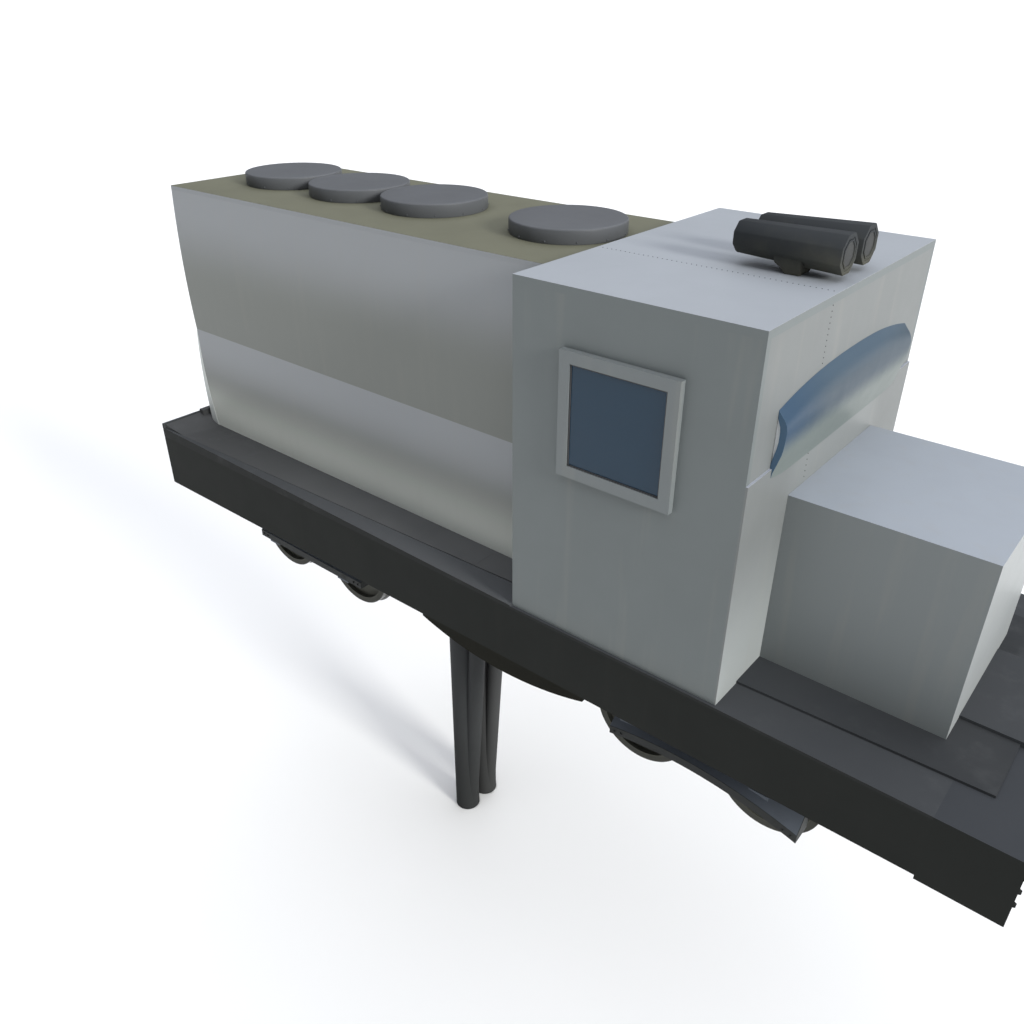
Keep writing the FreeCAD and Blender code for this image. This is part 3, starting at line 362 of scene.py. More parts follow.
@dataclass(frozen=True)
class NonSlip(Finish):
    """Gritted deck paint, scuffed, with other tones behind the cab, painted light beside the hood, and a dark outer
    side.
    """

    colour: Colour
    worn: Colour
    rear: Colour
    painted_light_beside_hood: Colour
    ahead: Colour
    far: float = 1.3
    cab: float = 1.90
    side: Colour = rgb(0.014, 0.015, 0.014)
    edge: float = 1.530

    def build(self, sheet: NodeSheet) -> bpy.types.Material:
        """Grit, scuffs and wear over the tones of the deck.

        Args:
            sheet: the material's nodes.

        Returns:
            The material.
        """
        along = sheet.axis("X")
        # Painted light beside the hood, against its shade, fading towards the rear end's tone.
        behind = sheet.blend(sheet.step(along, -3.6, self.far), self.rear, self.painted_light_beside_hood)
        before = sheet.blend(sheet.step(along, 3.9, 5.4), self.colour, self.ahead)
        plain = sheet.blend(sheet.step(along, self.cab - 0.02, self.cab + 0.02), behind, before)
        scuff = sheet.step(sheet.noise(4.0, 7.0), 0.5, 0.75)
        trail = sheet.step(sheet.noise(0.8, 3.0), 0.4, 0.65)
        grit = sheet.noise(420.0, 2.0)
        base = sheet.blend(scuff * 0.35, plain, self.worn)
        specked = sheet.blend(sheet.step(grit, 0.45, 0.7) * 0.12, base, self.worn)
        outer = sheet.step(sheet.axis("Y").size(), self.edge - 0.0015, self.edge - 0.0005)
        return sheet.surface({
            "Base Color": sheet.blend(outer, sheet.blend(trail * 0.2, specked, self.worn), self.side),
            "Roughness": scuff * -0.15 + 0.8,
            "Specular IOR Level": 0.25,
            "Normal": sheet.bump(grit, 0.25, 0.002),
        })


@dataclass(frozen=True)
class CastIron(Finish):
    """Sand-cast metal under grime, with rust where the paint has gone."""

    colour: Colour
    rust: Colour
    rust_share: float
    painted_light_top: Colour = rgb(0.098, 0.112, 0.132)
    flank: float = FAR_OFF
    tips: tuple[float, ...] = ()

    def build(self, sheet: NodeSheet) -> bpy.types.Material:
        """Casting skin, grime and rust, with painted light on what lies just inside a flank.

        Args:
            sheet: the material's nodes.

        Returns:
            The material.
        """
        patch = sheet.step(sheet.noise(6.0, 8.0), 0.55, 0.72)
        skin = sheet.blend(sheet.noise(12.0, 5.0), darker(self.colour, 0.8), darker(self.colour, 1.2))
        across = sheet.axis("Y").size()
        # Painted light on the up-facing top just inside each bogie flank, which the sill shades.
        inside = sheet.step(across, self.flank - 0.22, self.flank - 0.20) * (
            1.0 - sheet.step(across, self.flank - 0.005, self.flank - 0.002)) * (
            1.0 - sheet.step(sheet.axis("Z"), DECK - 0.99, DECK - 0.97))
        for tip in self.tips:
            inside = inside * sheet.step((sheet.axis("X") - tip).size(), 0.003, 0.006)
        return sheet.surface({
            "Base Color": sheet.blend(patch * self.rust_share, sheet.blend(inside, skin, self.painted_light_top), self.rust),
            "Roughness": patch * 0.2 + 0.62,
            "Specular IOR Level": 0.25,
            "Normal": sheet.bump(sheet.noise(90.0, 6.0), 0.22, 0.004),
        })


@dataclass(frozen=True)
class RolledSteel(Finish):
    """Wheel steel: bright running treads, dull patches, and webs inside the rims painted paler as painted light."""

    disc: Colour
    web_painted_light: Colour
    tread: Colour
    axles: tuple[float, ...]
    axle_height: float
    tread_radius: float

    def build(self, sheet: NodeSheet) -> bpy.types.Material:
        """A finish that changes with the distance from the nearest axle.

        Args:
            sheet: the material's nodes.

        Returns:
            The material.
        """
        along = sheet.axis("X")
        nearest = (along - self.axles[0]).size()
        for axle in self.axles[1:]:
            nearest = nearest.lower((along - axle).size())
        rise = sheet.axis("Z") - self.axle_height
        reach = (nearest * nearest + rise * rise) ** 0.5
        running = sheet.step(reach, self.tread_radius - 0.006, self.tread_radius - 0.001)
        rim = sheet.step(reach, self.tread_radius - 0.062, self.tread_radius - 0.052)
        # Painted light: the web inside each rim is paler than the rim, against the bogie's shade.
        plate = sheet.blend(rim, self.web_painted_light, self.disc)
        dull = sheet.blend(sheet.noise(14.0, 6.0), sheet.blend(0.25, plate, SHADE), plate)
        turned = sheet.noise(1.0, 2.0, sheet.stretched((1.0, 900.0, 1.0)))
        return sheet.surface({
            "Base Color": sheet.blend(running, dull, self.tread),
            "Metallic": running * 0.3,
            "Specular IOR Level": 0.3,
            "Roughness": 0.72 - running * 0.4,
            "Normal": sheet.bump(turned, 0.08, 0.001),
        })


@dataclass(frozen=True)
class TintedGlass(Finish):
    """Dark glass whose colour changes from its head to its foot, with a painted highlight on its end faces where an
    edge is given.
    """

    head: Colour
    middle: Colour
    foot: Colour
    low: float
    high: float
    haze: float = 0.16
    alpha: float = 0.94
    shine: float = 0.5
    corner: Colour = rgb(0.032, 0.062, 0.103)
    corner_share: float = 0.0
    rim: Colour = rgb(0.062, 0.112, 0.172)
    edge: float = FAR_OFF

    def build(self, sheet: NodeSheet) -> bpy.types.Material:
        """Glass with a film of dust, a slight wave, a bluer head at its right end and a painted highlight on its end
        faces.

        Args:
            sheet: the material's nodes.

        Returns:
            The material.
        """
        film = sheet.noise(5.0, 5.0)
        height = sheet.axis("Z") + film * 0.05
        fade = sheet.step(height, DECK + self.low, DECK + self.high)
        crown = sheet.step(height, DECK + self.high + 0.08, DECK + self.high + 0.22)
        reach = 1.0 - sheet.step(sheet.axis("Y"), -1.16, -0.35)
        head = sheet.blend(reach * self.corner_share, sheet.blend(crown, self.middle, self.head), self.corner)
        # Painted highlight: the rim colour on the glass's end faces.
        end = sheet.step(sheet.axis("Y").size(), self.edge - 0.002, self.edge - 0.001)
        return sheet.surface({
            "Base Color": sheet.blend(end, sheet.blend(fade, self.foot, head), self.rim),
            "Roughness": film * 0.12 + (self.haze - 0.06),
            "Alpha": self.alpha,
            "Specular IOR Level": self.shine,
            "Normal": sheet.bump(sheet.noise(1.6, 1.0), 0.03, 0.01),
        })


@dataclass(frozen=True)
class SoftBlack(Finish):
    """Rubber, vinyl or ribbed matting."""

    colour: Colour
    grain: float = 500.0
    ribs: float = 0.0
    gloss: float = 0.6

    def build(self, sheet: NodeSheet) -> bpy.types.Material:
        """Fine grain, with ribs across where they are asked for.

        Args:
            sheet: the material's nodes.

        Returns:
            The material.
        """
        normal = sheet.bump(sheet.node("ShaderNodeTexVoronoi", {"Vector": sheet.place, "Scale": self.grain}),
                            0.12, 0.001)
        if self.ribs:
            rib = sheet.node("ShaderNodeTexWave", {"Vector": sheet.place, "Scale": self.ribs, "Distortion": 0.0},
                             bands_direction="X")
            normal = sheet.bump(sheet.step(rib, 0.3, 0.7), 0.6, 0.003, normal)
        wear = sheet.step(sheet.noise(7.0, 5.0), 0.5, 0.8)
        return sheet.surface({
            "Base Color": sheet.blend(wear * 0.3, self.colour, darker(self.colour, 1.9)),
            "Roughness": self.gloss - wear * 0.12,
            "Normal": normal,
        })


def top_of(node: str) -> float:
    """The top of a node above the deck."""
    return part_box(node)[1].z - DECK


# The cab's walls and front wear one grey paint, darker on the walls and paler on the front as painted shade and
# light.
CAB_GREY = PlatePaint("cab_grey_paint", "cab_grey", rgb(0.141, 0.157, 0.155), dust_share=0.06, mottle=0.03)
# Painted light on the cab's front: its foot, nook and ledge colours.
FACE_GREY = FacePaint("cab_face_paint", "cab_grey", rgb(0.161, 0.169, 0.165), dust_share=0.06, mottle=0.03,
                      foot=rgb(0.310, 0.328, 0.322), ledge=rgb(0.34, 0.36, 0.40), nook_painted_light=rgb(0.200, 0.210, 0.205),
                      ahead=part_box("cab_front")[1].x)
# Painted light: the windshield cheeks are pale so that they read as the lit cab face in the glass's shade.
CHEEK_PAINTED_LIGHT = PlatePaint("windshield_cheek_painted_light", "cab_grey", rgb(0.62, 0.64, 0.64), dust_share=0.0, mottle=0.02)
# Painted light and shade: the nose is the cab's paint, given a paler, bluer top, darker walls and a paler front
# face.
NOSE_GREY = RoofPaint("nose_grey_paint", "cab_grey", rgb(0.292, 0.316, 0.344), dust_share=0.06, mottle=0.03,
                      wall=rgb(0.174, 0.190, 0.189), face=rgb(0.278, 0.291, 0.288), top=top_of("nose_shell"),
                      ahead=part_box("nose_shell")[1].x)
# Painted light: the cab roof is the cab's grey paint, made paler and bluer for the light from above.
ROOF_PALE = RoofPaint("cab_roof_paint", "cab_roof_pale", rgb(0.318, 0.337, 0.357), streaks=0.0, mottle=0.03,
                      wall=CAB_GREY.colour, top=top_of("cab_roof"))
# Painted shade darkens each hood tier towards its foot colour; the pale colour is painted light at the hood's foot.
HOOD_GREY = TierPaint("hood_grey_paint", "hood_grey", rgb(0.266, 0.277, 0.284), dust_share=0.06, streaks=0.05,
                      foot=rgb(0.179, 0.187, 0.171), pale=rgb(0.64, 0.66, 0.600))
HOOD_PLAIN = PlatePaint("hood_rear_paint", "hood_grey", rgb(0.40, 0.42, 0.42), dust_share=0.2)
HOOD_STRIP = PlatePaint("hood_corner_paint", "hood_grey", rgb(0.50, 0.52, 0.50), dust_share=0.1)
ROOF_OLIVE = RoofPaint("hood_roof_paint", "roof_olive", rgb(0.128, 0.127, 0.088), streaks=0.0, gloss=0.7,
                       wall=HOOD_GREY.colour, top=top_of("hood_roof"))
FAN_GREY = PlatePaint("fan_cap_paint", "fan_grey", rgb(0.090, 0.094, 0.099), streaks=0.0, gloss=0.5)
WINDOW_GREY = PlatePaint("window_frame_paint", "window_frame_grey", rgb(0.162, 0.177, 0.177), mottle=0.02)
SILL_BLACK = PlatePaint("sill_black_paint", "frame_black", rgb(0.0184, 0.0197, 0.0179), GRIME, -1.0, -0.2, 0.12,
                        streaks=0.03, gloss=0.6, shine=0.05)
PILOT_BLACK = RoofPaint("pilot_black_paint", "frame_black", rgb(0.043, 0.046, 0.050), GRIME, -1.0, -0.2, 0.12,
                        streaks=0.0, gloss=0.6, shine=0.05, wall=SILL_BLACK.colour, top=top_of("front_pilot"))
LAMP_BLACK = PlatePaint("lamp_black_paint", "lamp_black", rgb(0.028, 0.031, 0.033), rgb(0.080, 0.078, 0.060),
                        3.00, 3.35, 0.9, streaks=0.0, gloss=0.6, shine=0.12)
TANK_DARK = PlatePaint("tank_dark_paint", "tank_dark", rgb(0.0140, 0.0140, 0.0102), GRIME, -1.4, -0.7, 0.12,
                       streaks=0.03, gloss=0.6, shine=0.06)
# Painted shade: the SHADE colour gathers low on the posts and darkens them towards the floor. Painted light: the
# paler left colour on the left post.
POST_GREY = PostPaint("post_grey_paint", "post_grey", rgb(0.038, 0.040, 0.041), SHADE, -5.3, -1.6, 0.55,
                      streaks=0.0, gloss=0.6, shine=0.12, left=rgb(0.058, 0.059, 0.059))
STAND_GREY = PlatePaint("stand_grey_paint", "stand_grey", rgb(0.14, 0.15, 0.15), dust_share=0.1, peel=0.3)
# The paler tone beside the hood on the deck and walkways is painted light against the hood's shade.
DECK_GREY = NonSlip("deck_grey_paint", "deck_grey", rgb(0.043, 0.046, 0.049), rgb(0.060, 0.062, 0.064),
                    rgb(0.038, 0.041, 0.043), rgb(0.078, 0.081, 0.084), rgb(0.040, 0.043, 0.046))
WALKWAY_DARK = NonSlip("walkway_dark_paint", "walkway_dark", rgb(0.037, 0.040, 0.043), rgb(0.054, 0.056, 0.056),
                       rgb(0.050, 0.051, 0.051), rgb(0.094, 0.095, 0.094), rgb(0.026, 0.028, 0.030), far=0.2)
# Painted light: the bluish colour on the bogie frames' tops just inside their flanks.
BOGIE_IRON = CastIron("bogie_iron", "bogie_iron", rgb(0.023, 0.025, 0.024), rgb(0.040, 0.034, 0.026), 0.15,
                      flank=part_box("bogie_front")[1].y,
                      tips=(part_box("bogie_front")[1].x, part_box("bogie_rear")[1].x))
COUPLER_IRON = CastIron("coupler_iron", "coupler_iron", rgb(0.075, 0.066, 0.056), rgb(0.15, 0.075, 0.04), 0.5)
ENGINE_IRON = CastIron("engine_iron", "engine_iron", rgb(0.12, 0.13, 0.13), rgb(0.10, 0.06, 0.04), 0.2)
HANDLE_STEEL = CastIron("handle_steel", "wheel_steel", rgb(0.20, 0.20, 0.195), rgb(0.12, 0.08, 0.05), 0.1)
PANE = rgb(0.011, 0.034, 0.060)
DARK_GLASS = TintedGlass("side_window_glass", "dark_glass", PANE, PANE, PANE, 1.5, 2.4, shine=0.32)
# Painted highlight on the windshield's end faces, in the glass's rim colour.
SHIELD_GLASS = TintedGlass("windshield_glass", "blue_glass", rgb(0.050, 0.078, 0.107), rgb(0.035, 0.056, 0.075),
                           rgb(0.140, 0.162, 0.152), 1.94, 2.14, haze=0.42, alpha=1.0, shine=0.25,
                           corner_share=0.9, edge=1.160)
LENS = rgb(0.030, 0.031, 0.030)
LENS_GLASS = TintedGlass("lamp_lens_glass", "dark_glass", LENS, LENS, LENS, 2.0, 3.0, haze=0.5, alpha=1.0, shine=0.2)
GASKET = SoftBlack("gasket_rubber", "floor_dark", rgb(0.02, 0.021, 0.022))
MATTING = SoftBlack("floor_matting", "floor_dark", rgb(0.03, 0.03, 0.03), ribs=9.0)
VINYL = SoftBlack("seat_vinyl", "seat_black", rgb(0.022, 0.022, 0.023), grain=900.0, gloss=0.45)
WHEELSETS = tuple(f"wheelset_{name}" for name in ("rear_1", "rear_2", "front_1", "front_2"))
AXLES = tuple(sum(corner.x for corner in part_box(name)) / 2 for name in WHEELSETS)
AXLE_HEIGHT = sum(corner.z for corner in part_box(WHEELSETS[0])) / 2
# Painted light: the paler web colour inside the wheel rims.
WHEEL_STEEL = RolledSteel("wheel_steel", "wheel_steel", rgb(0.052, 0.052, 0.042), rgb(0.064, 0.064, 0.050),
                          rgb(0.10, 0.10, 0.095), AXLES, AXLE_HEIGHT, 0.478)


class Body(Enum):
    """The moving bodies that pieces ride on."""

    FRAME = "frame"
    RIGHT_DOOR = "door_right"
    LEFT_DOOR = "door_left"
    REAR_BOGIE = "bogie_frame_rear"
    FRONT_BOGIE = "bogie_frame_front"
    REAR_COUPLER = "coupler_head_rear"
    FRONT_COUPLER = "coupler_head_front"


def linked(name: str, content: bpy.types.ID) -> bpy.types.Object:
    """Put a new object in the scene.

    Args:
        name: its name.
        content: its mesh, light or camera.

    Returns:
        The object.
    """
    made = bpy.data.objects.new(name, content)
    bpy.context.scene.collection.objects.link(made)
    return made


def dress(piece: bpy.types.Object, finish: Finish, body: Body, stands_for: Sequence[str] = ()) -> None:
    """Give a new piece its finish, its body and the nodes that it stands for.

    Args:
        piece: the piece.
        finish: its finish.
        body: the body that it rides on.
        stands_for: the nodes that it replaces.
    """
    piece.data.materials.clear()
    piece.data.materials.append(finish.material())
    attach(piece, body.value)
    if stands_for:
        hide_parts(*stands_for)
    log.info("%s rides on %s with %d faces", piece.name, body.value, len(piece.data.polygons))


def paint(finish: Finish, *nodes: str) -> None:
    """Give nodes that stay as they are a finish.

    Args:
        finish: the finish.
        nodes: the nodes' names.
    """
    for name in nodes:
        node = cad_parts[name]
        node.data.materials.clear()
        node.data.materials.append(finish.material())
        log.info("%s wears %s", name, finish.name)


@dataclass
class Shape:
    """Points and faces that become one mesh."""

    points: list[Point] = field(default_factory=list)
    faces: list[tuple[int, ...]] = field(default_factory=list)

    def loft(self, rings: Sequence[Sequence[Point]], capped: bool = True) -> "Shape":
        """Join closed rings of as many points each.

        Args:
            rings: the rings, in order.
            capped: whether the first and last rings are filled.

        Returns:
            The shape.
        """
        start, count = len(self.points), len(rings[0])
        for ring in rings:
            self.points.extend(tuple(point) for point in ring)
        for level in range(len(rings) - 1):
            low = start + level * count
            for index in range(count):
                after = (index + 1) % count
                self.faces.append((low + index, low + after, low + count + after, low + count + index))
        if capped:
            last = start + (len(rings) - 1) * count
            self.faces.append(tuple(range(start + count - 1, start - 1, -1)))
            self.faces.append(tuple(range(last, last + count)))
        return self

    def turned(self, profile: Sequence[tuple[float, float]], centre: Point, axis: str = "Z",
               sides: int = 48) -> "Shape":
        """Turn a profile of radius and height about an axis.

        Args:
            profile: radius and height pairs; an end of radius 0 closes in a point.
            centre: where height 0 lies.
            axis: X, Y or Z.
            sides: faces round the axis.

        Returns:
            The shape.
        """
        shift = "XYZ".index(axis)
        rings = []
        for radius, height in profile:
            reach = max(radius, 1e-5)
            ring = []
            for index in range(sides):
                turn = 2 * math.pi * index / sides
                spot = (height, reach * math.cos(turn), reach * math.sin(turn))
                ring.append(tuple(a + b for a, b in zip(spot[-shift:] + spot[:-shift], centre)))
            rings.append(ring)
        return self.loft(rings)

    def tube(self, path: Sequence[Point], radius: float, sides: int = 10, closed: bool = False) -> "Shape":
        """A round bar along a path.

        Args:
            path: the path's points.
            radius: the bar's radius.
            sides: faces round the bar.
            closed: whether the path closes on itself.

        Returns:
            The shape.
        """
        points = [Vector(point) for point in path]
        rings = []
        side = None
        for index, point in enumerate(points):
            before = points[index - 1] if index or closed else point
            after = points[(index + 1) % len(points)] if index + 1 < len(points) or closed else point
            along = (after - before).normalized()
            side = side or along.orthogonal().normalized()
            side = (side - along * side.dot(along)).normalized()
            up = along.cross(side)
            turns = [2 * math.pi * part / sides for part in range(sides)]
            rings.append([tuple(point + radius * (math.cos(turn) * side + math.sin(turn) * up)) for turn in turns])
        if closed:
            rings.append(rings[0])
        return self.loft(rings, capped=not closed)

    def make(self, name: str, smooth: float = 35.0, bevel: float = 0.0) -> bpy.types.Object:
        """Make the mesh.

        Args:
            name: the piece's name.
            smooth: faces that meet at less than this angle, in degrees, shade as one.
            bevel: how far edges are rounded, in metres.

        Returns:
            The piece, with its faces pointing outwards.
        """
        mesh = bpy.data.meshes.new(name)
        mesh.from_pydata(self.points, [], self.faces)
        work = bmesh.new()
        work.from_mesh(mesh)
        bmesh.ops.remove_doubles(work, verts=work.verts, dist=2e-5)
        bmesh.ops.dissolve_degenerate(work, edges=work.edges, dist=1e-6)
        bmesh.ops.recalc_face_normals(work, faces=work.faces)
        if bevel:
            sharp = [edge for edge in work.edges
                     if len(edge.link_faces) == 2 and edge.calc_face_angle(0.0) > math.radians(30.0)]
            bmesh.ops.bevel(work, geom=sharp, offset=bevel, segments=2, affect="EDGES", clamp_overlap=True)
        work.to_mesh(mesh)
        work.free()
        mesh.polygons.foreach_set("use_smooth", [True] * len(mesh.polygons))
        mesh.set_sharp_from_angle(angle=math.radians(smooth))
        return linked(name, mesh)

    def piece(self, name: str, finish: Finish, body: Body = Body.FRAME, stands_for: Sequence[str] = (),
              smooth: float = 35.0, bevel: float = 0.0) -> bpy.types.Object:
        """Make the mesh and dress it.

        Args:
            name: the piece's name.
            finish: its finish.
            body: the body that it rides on.
            stands_for: the nodes that it replaces.
            smooth: faces that meet at less than this angle, in degrees, shade as one.
            bevel: how far edges are rounded, in metres.

        Returns:
            The piece.
        """
        made = self.make(name, smooth, bevel)
        dress(made, finish, body, stands_for)
        return made


class FastenerTree(Nodes):
    """Geometry nodes that set one fastener on every point of a mesh, along its facing attribute."""

    SOCKETS = {"Points": "Geometry", "Radius": "Float", "Rise": "Float", "Crown": "Float", "Sides": "Int",
               "Finish": "Material"}

    def __init__(self) -> None:
        """Build the tree with its named inputs."""
        super().__init__(bpy.data.node_groups.new("fastener_rows", "GeometryNodeTree"))
        for label, kind in self.SOCKETS.items():
            self.tree.interface.new_socket(label, in_out="INPUT", socket_type=f"NodeSocket{kind}")
        self.tree.interface.new_socket("Fasteners", in_out="OUTPUT", socket_type="NodeSocketGeometry")
        given = {label: self.node("NodeGroupInput", {}, label) for label in self.SOCKETS}
        facing = self.node("GeometryNodeInputNamedAttribute", {"Name": "facing"}, data_type="FLOAT_VECTOR")
        turn = self.node("FunctionNodeAlignRotationToVector", {"Vector": facing}, axis="Z")
        head = self.node("GeometryNodeMeshCone", {
            "Vertices": given["Sides"], "Radius Bottom": given["Radius"],
            "Radius Top": given["Radius"] * given["Crown"], "Depth": given["Rise"]}, "Mesh")
        spread = self.node("GeometryNodeInstanceOnPoints",
                           {"Points": given["Points"], "Instance": head, "Rotation": turn})
        real = self.node("GeometryNodeRealizeInstances", {0: spread})
        coated = self.node("GeometryNodeSetMaterial", {"Geometry": real, "Material": given["Finish"]})
        self.node("NodeGroupOutput", {0: coated})

    def set_rows(self, name: str, spots: Sequence[tuple[Point, Point]], finish: Finish, radius: float, rise: float,
                 body: Body = Body.FRAME, sides: int = 6, crown: float = 0.7) -> None:
        """Set fasteners at points, as one plain mesh.

        Args:
            name: the piece's name.
            spots: each fastener's place and the way it faces.
            finish: its finish.
            radius: a head's radius.
            rise: a head's height.
            body: the body that it rides on.
            sides: faces round a head.
            crown: share of the radius that is left at its top.
        """
        cloud = bpy.data.meshes.new(f"{name}_spots")
        cloud.from_pydata([spot for spot, _ in spots], [], [])
        facing = cloud.attributes.new("facing", "FLOAT_VECTOR", "POINT")
        for entry, (_, way) in zip(facing.data, spots):
            entry.vector = way
        holder = linked(f"{name}_rows", cloud)
        modifier = holder.modifiers.new("rows", "NODES")
        modifier.node_group = self.tree
        values = {"Radius": radius, "Rise": rise, "Crown": crown, "Sides": sides, "Finish": finish.material()}
        for item in self.tree.interface.items_tree:
            if item.in_out == "INPUT" and item.name in values:
                modifier[item.identifier] = values[item.name]
        mesh = bpy.data.meshes.new_from_object(holder.evaluated_get(bpy.context.evaluated_depsgraph_get()))
        bpy.data.objects.remove(holder)
        mesh.name = name
        dress(linked(name, mesh), finish, body)


def row(start: Point, stop: Point, count: int, way: Point) -> list[tuple[Point, Point]]:
    """Evenly spaced places from one point to another, all facing one way."""
    return [(tuple(Vector(start).lerp(Vector(stop), index / (count - 1))), way) for index in range(count)]


def flat(rear: float, front: float, near: float, far: float, height: float) -> list[Point]:
    """A four-cornered ring at one height."""
    return [(rear, near, height), (front, near, height), (front, far, height), (rear, far, height)]


def border(corners: Sequence[Point], ease: float) -> list[Point]:
    """A closed path round corners, with three places on each side.

    Args:
        corners: the corners, in order.
        ease: share of a side that is left out at its ends.

    Returns:
        The path.
    """
    path = []
    for index, corner in enumerate(corners):
        after = corners[(index + 1) % len(corners)]
        path += [tuple(a + (b - a) * share for a, b in zip(corner, after)) for share in (ease, 0.5, 1.0 - ease)]
    return path


@dataclass
class Hood:
    """The long hood: two-tier sides, flat roof and round fan caps."""

    fasteners: FastenerTree
    fan_middles: tuple[float, ...] = (-2.518, -1.445, -0.372, 1.238)
    fan_offset: float = 0.040
    fan_radius: float = 0.518
    fan_rise: float = 0.130
    fan_screws_each: int = 12
    half_width: float = 0.959
    bulge: float = 0.024
    base: float = 0.022
    joint: float = 1.215
    strip_foot: float = 0.112
    strip_head: float = 0.006
    strip_rise: float = 0.004

    def fan_caps(self) -> None:
        """Caps with a rounded rim and a slightly domed top."""
        reach, rise = self.fan_radius, self.fan_rise
        profile = [(0.0, 0.0), (reach - 0.006, 0.0), (reach, 0.008), (reach, rise - 0.020)]
        for part in range(1, 7):
            turn = part / 6 * math.pi / 2
            profile.append((reach - 0.014 + 0.014 * math.cos(turn), rise - 0.020 + 0.015 * math.sin(turn)))
        profile += [(reach * 0.80, rise - 0.004), (reach * 0.55, rise - 0.002), (reach * 0.25, rise - 0.001),
                    (0.0, rise)]
        shape = Shape()
        for middle in self.fan_middles:
            shape.turned(profile, (middle, self.fan_offset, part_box("hood_roof")[1].z), sides=56)
        shape.piece("fan_caps", FAN_GREY, stands_for=["roof_fans"], smooth=50.0)

    def fan_screws(self) -> None:
        """Screws round each cap's wall."""
        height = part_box("hood_roof")[1].z + 0.022
        spots = []
        for middle in self.fan_middles:
            for index in range(self.fan_screws_each):
                turn = 2 * math.pi * (index + 0.5) / self.fan_screws_each
                way = (math.cos(turn), math.sin(turn), 0.0)
                place = (middle + self.fan_radius * way[0], self.fan_offset + self.fan_radius * way[1], height)
                spots.append((place, way))
        self.fasteners.set_rows("fan_screws", spots, FAN_GREY, 0.007, 0.008)

    def corner_strips(self) -> None:
        """Tapered strips on the rear edge of each lower tier, which follow its bow."""
        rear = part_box("hood_rear_wall")[0].x
        for name, side in SIDES:
            rings = []
            for index in range(13):
                share = index / 12
                bowed = self.half_width + self.bulge * (1.0 - (share * 2.0 - 1.0) ** 2)
                width = self.strip_foot + (self.strip_head - self.strip_foot) * share
                rings.append(flat(rear, rear + width, side * bowed, side * (bowed + self.strip_rise),
                                  DECK + self.base + (self.joint - self.base) * share))
            Shape().loft(rings).piece(f"hood_corner_strip_{name}", HOOD_STRIP)

    def build(self) -> None:
        """Dress the hood."""
        paint(HOOD_GREY, "hood_side_right", "hood_side_left")
        paint(HOOD_PLAIN, "hood_rear_wall")
        paint(ROOF_OLIVE, "hood_roof")
        paint(ENGINE_IRON, "engine_block")
        self.fan_caps()
        self.fan_screws()
        self.corner_strips()


@dataclass
class Windshield:
    """The bowed glass blister across the cab's front."""

    half_width: float = 1.160
    sections: int = 48
    foot: float = 1.736
    foot_lift: float = 0.040
    head: float = 2.264
    crown: float = 0.118
    outer: tuple[tuple[float, float], ...] = (
        (0.000, 0.017), (0.04, 0.020), (0.09, 0.025), (0.19, 0.040), (0.28, 0.053), (0.37, 0.066), (0.46, 0.072),
        (0.55, 0.0755), (0.64, 0.078), (0.72, 0.079), (0.79, 0.073), (0.85, 0.060), (0.895, 0.043), (0.95, 0.020),
        (1.000, 0.001),
    )
    inner: tuple[tuple[float, float], ...] = (
        (0.985, 0.001), (0.93, 0.001), (0.885, 0.003), (0.82, 0.015), (0.76, 0.026), (0.70, 0.030), (0.63, 0.031),
        (0.55, 0.031), (0.46, 0.026), (0.38, 0.018), (0.28, 0.008), (0.20, 0.002), (0.10, 0.001), (0.03, 0.001),
        (0.000, 0.001),
    )

    def limits(self, across: float) -> tuple[float, float]:
        """The lower and upper edges at a place across the cab, above the deck."""
        share = abs(across) / self.half_width
        return self.foot + self.foot_lift * share ** 9, self.head + self.crown * (1.0 - share ** 2.4)

    def section(self, across: float, profile: Sequence[tuple[float, float]], lift: float = 0.0) -> list[Point]:
        """A profile of the glass at one place across the cab.

        Args:
            across: the place.
            profile: shares of the glass's height, each with how far it stands out.
            lift: how far the section is moved forward.

        Returns:
            The section's points.
        """
        low, high = self.limits(across)
        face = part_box("cab_front")[1].x - LEDGE
        return [(face + out + lift, across, DECK + low + (high - low) * share) for share, out in profile]

    def sill(self) -> None:
        """A strip that fills the ledge's notch under the glass."""
        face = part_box("cab_front")[1].x - LEDGE
        back, front, foot = face + 0.0005, face + 0.0158, self.foot - 0.0013
        rings = []
        for index in range(25):
            across = self.half_width * (index / 12 - 1.0)
            top = DECK + max(self.limits(across)[0] + 0.004, foot + 0.003)
            rings.append([(back, across, DECK + foot), (front, across, DECK + foot), (front, across, top),
                          (back, across, top)])
        Shape().loft(rings).piece("windshield_sill", FACE_GREY)

    def cheeks(self) -> None:
        """A panel inside each end of the glass that closes it off from the cab, pale as painted light against the
        glass's shade.
        """
        profile = [(0.98, -0.0004), *self.inner[1:-1], (0.04, -0.0004)]
        shape = Shape()
        for side in (-1, 1):
            shape.loft([self.section(side * (self.half_width - inset), profile, 0.0006) for inset in (0.012, 0.020)])
        shape.piece("windshield_cheeks", CHEEK_PAINTED_LIGHT)

    def build(self) -> None:
        """A thick shell, its edges folded back to the cab's face, with its ends open to view."""
        self.sill()
        self.cheeks()
        rings = [self.section(-self.half_width + 2 * self.half_width * index / self.sections,
                              (*self.outer, *self.inner)) for index in range(self.sections + 1)]
        Shape().loft(rings).piece("windshield_glass", SHIELD_GLASS, stands_for=["windshield"], smooth=42.0)


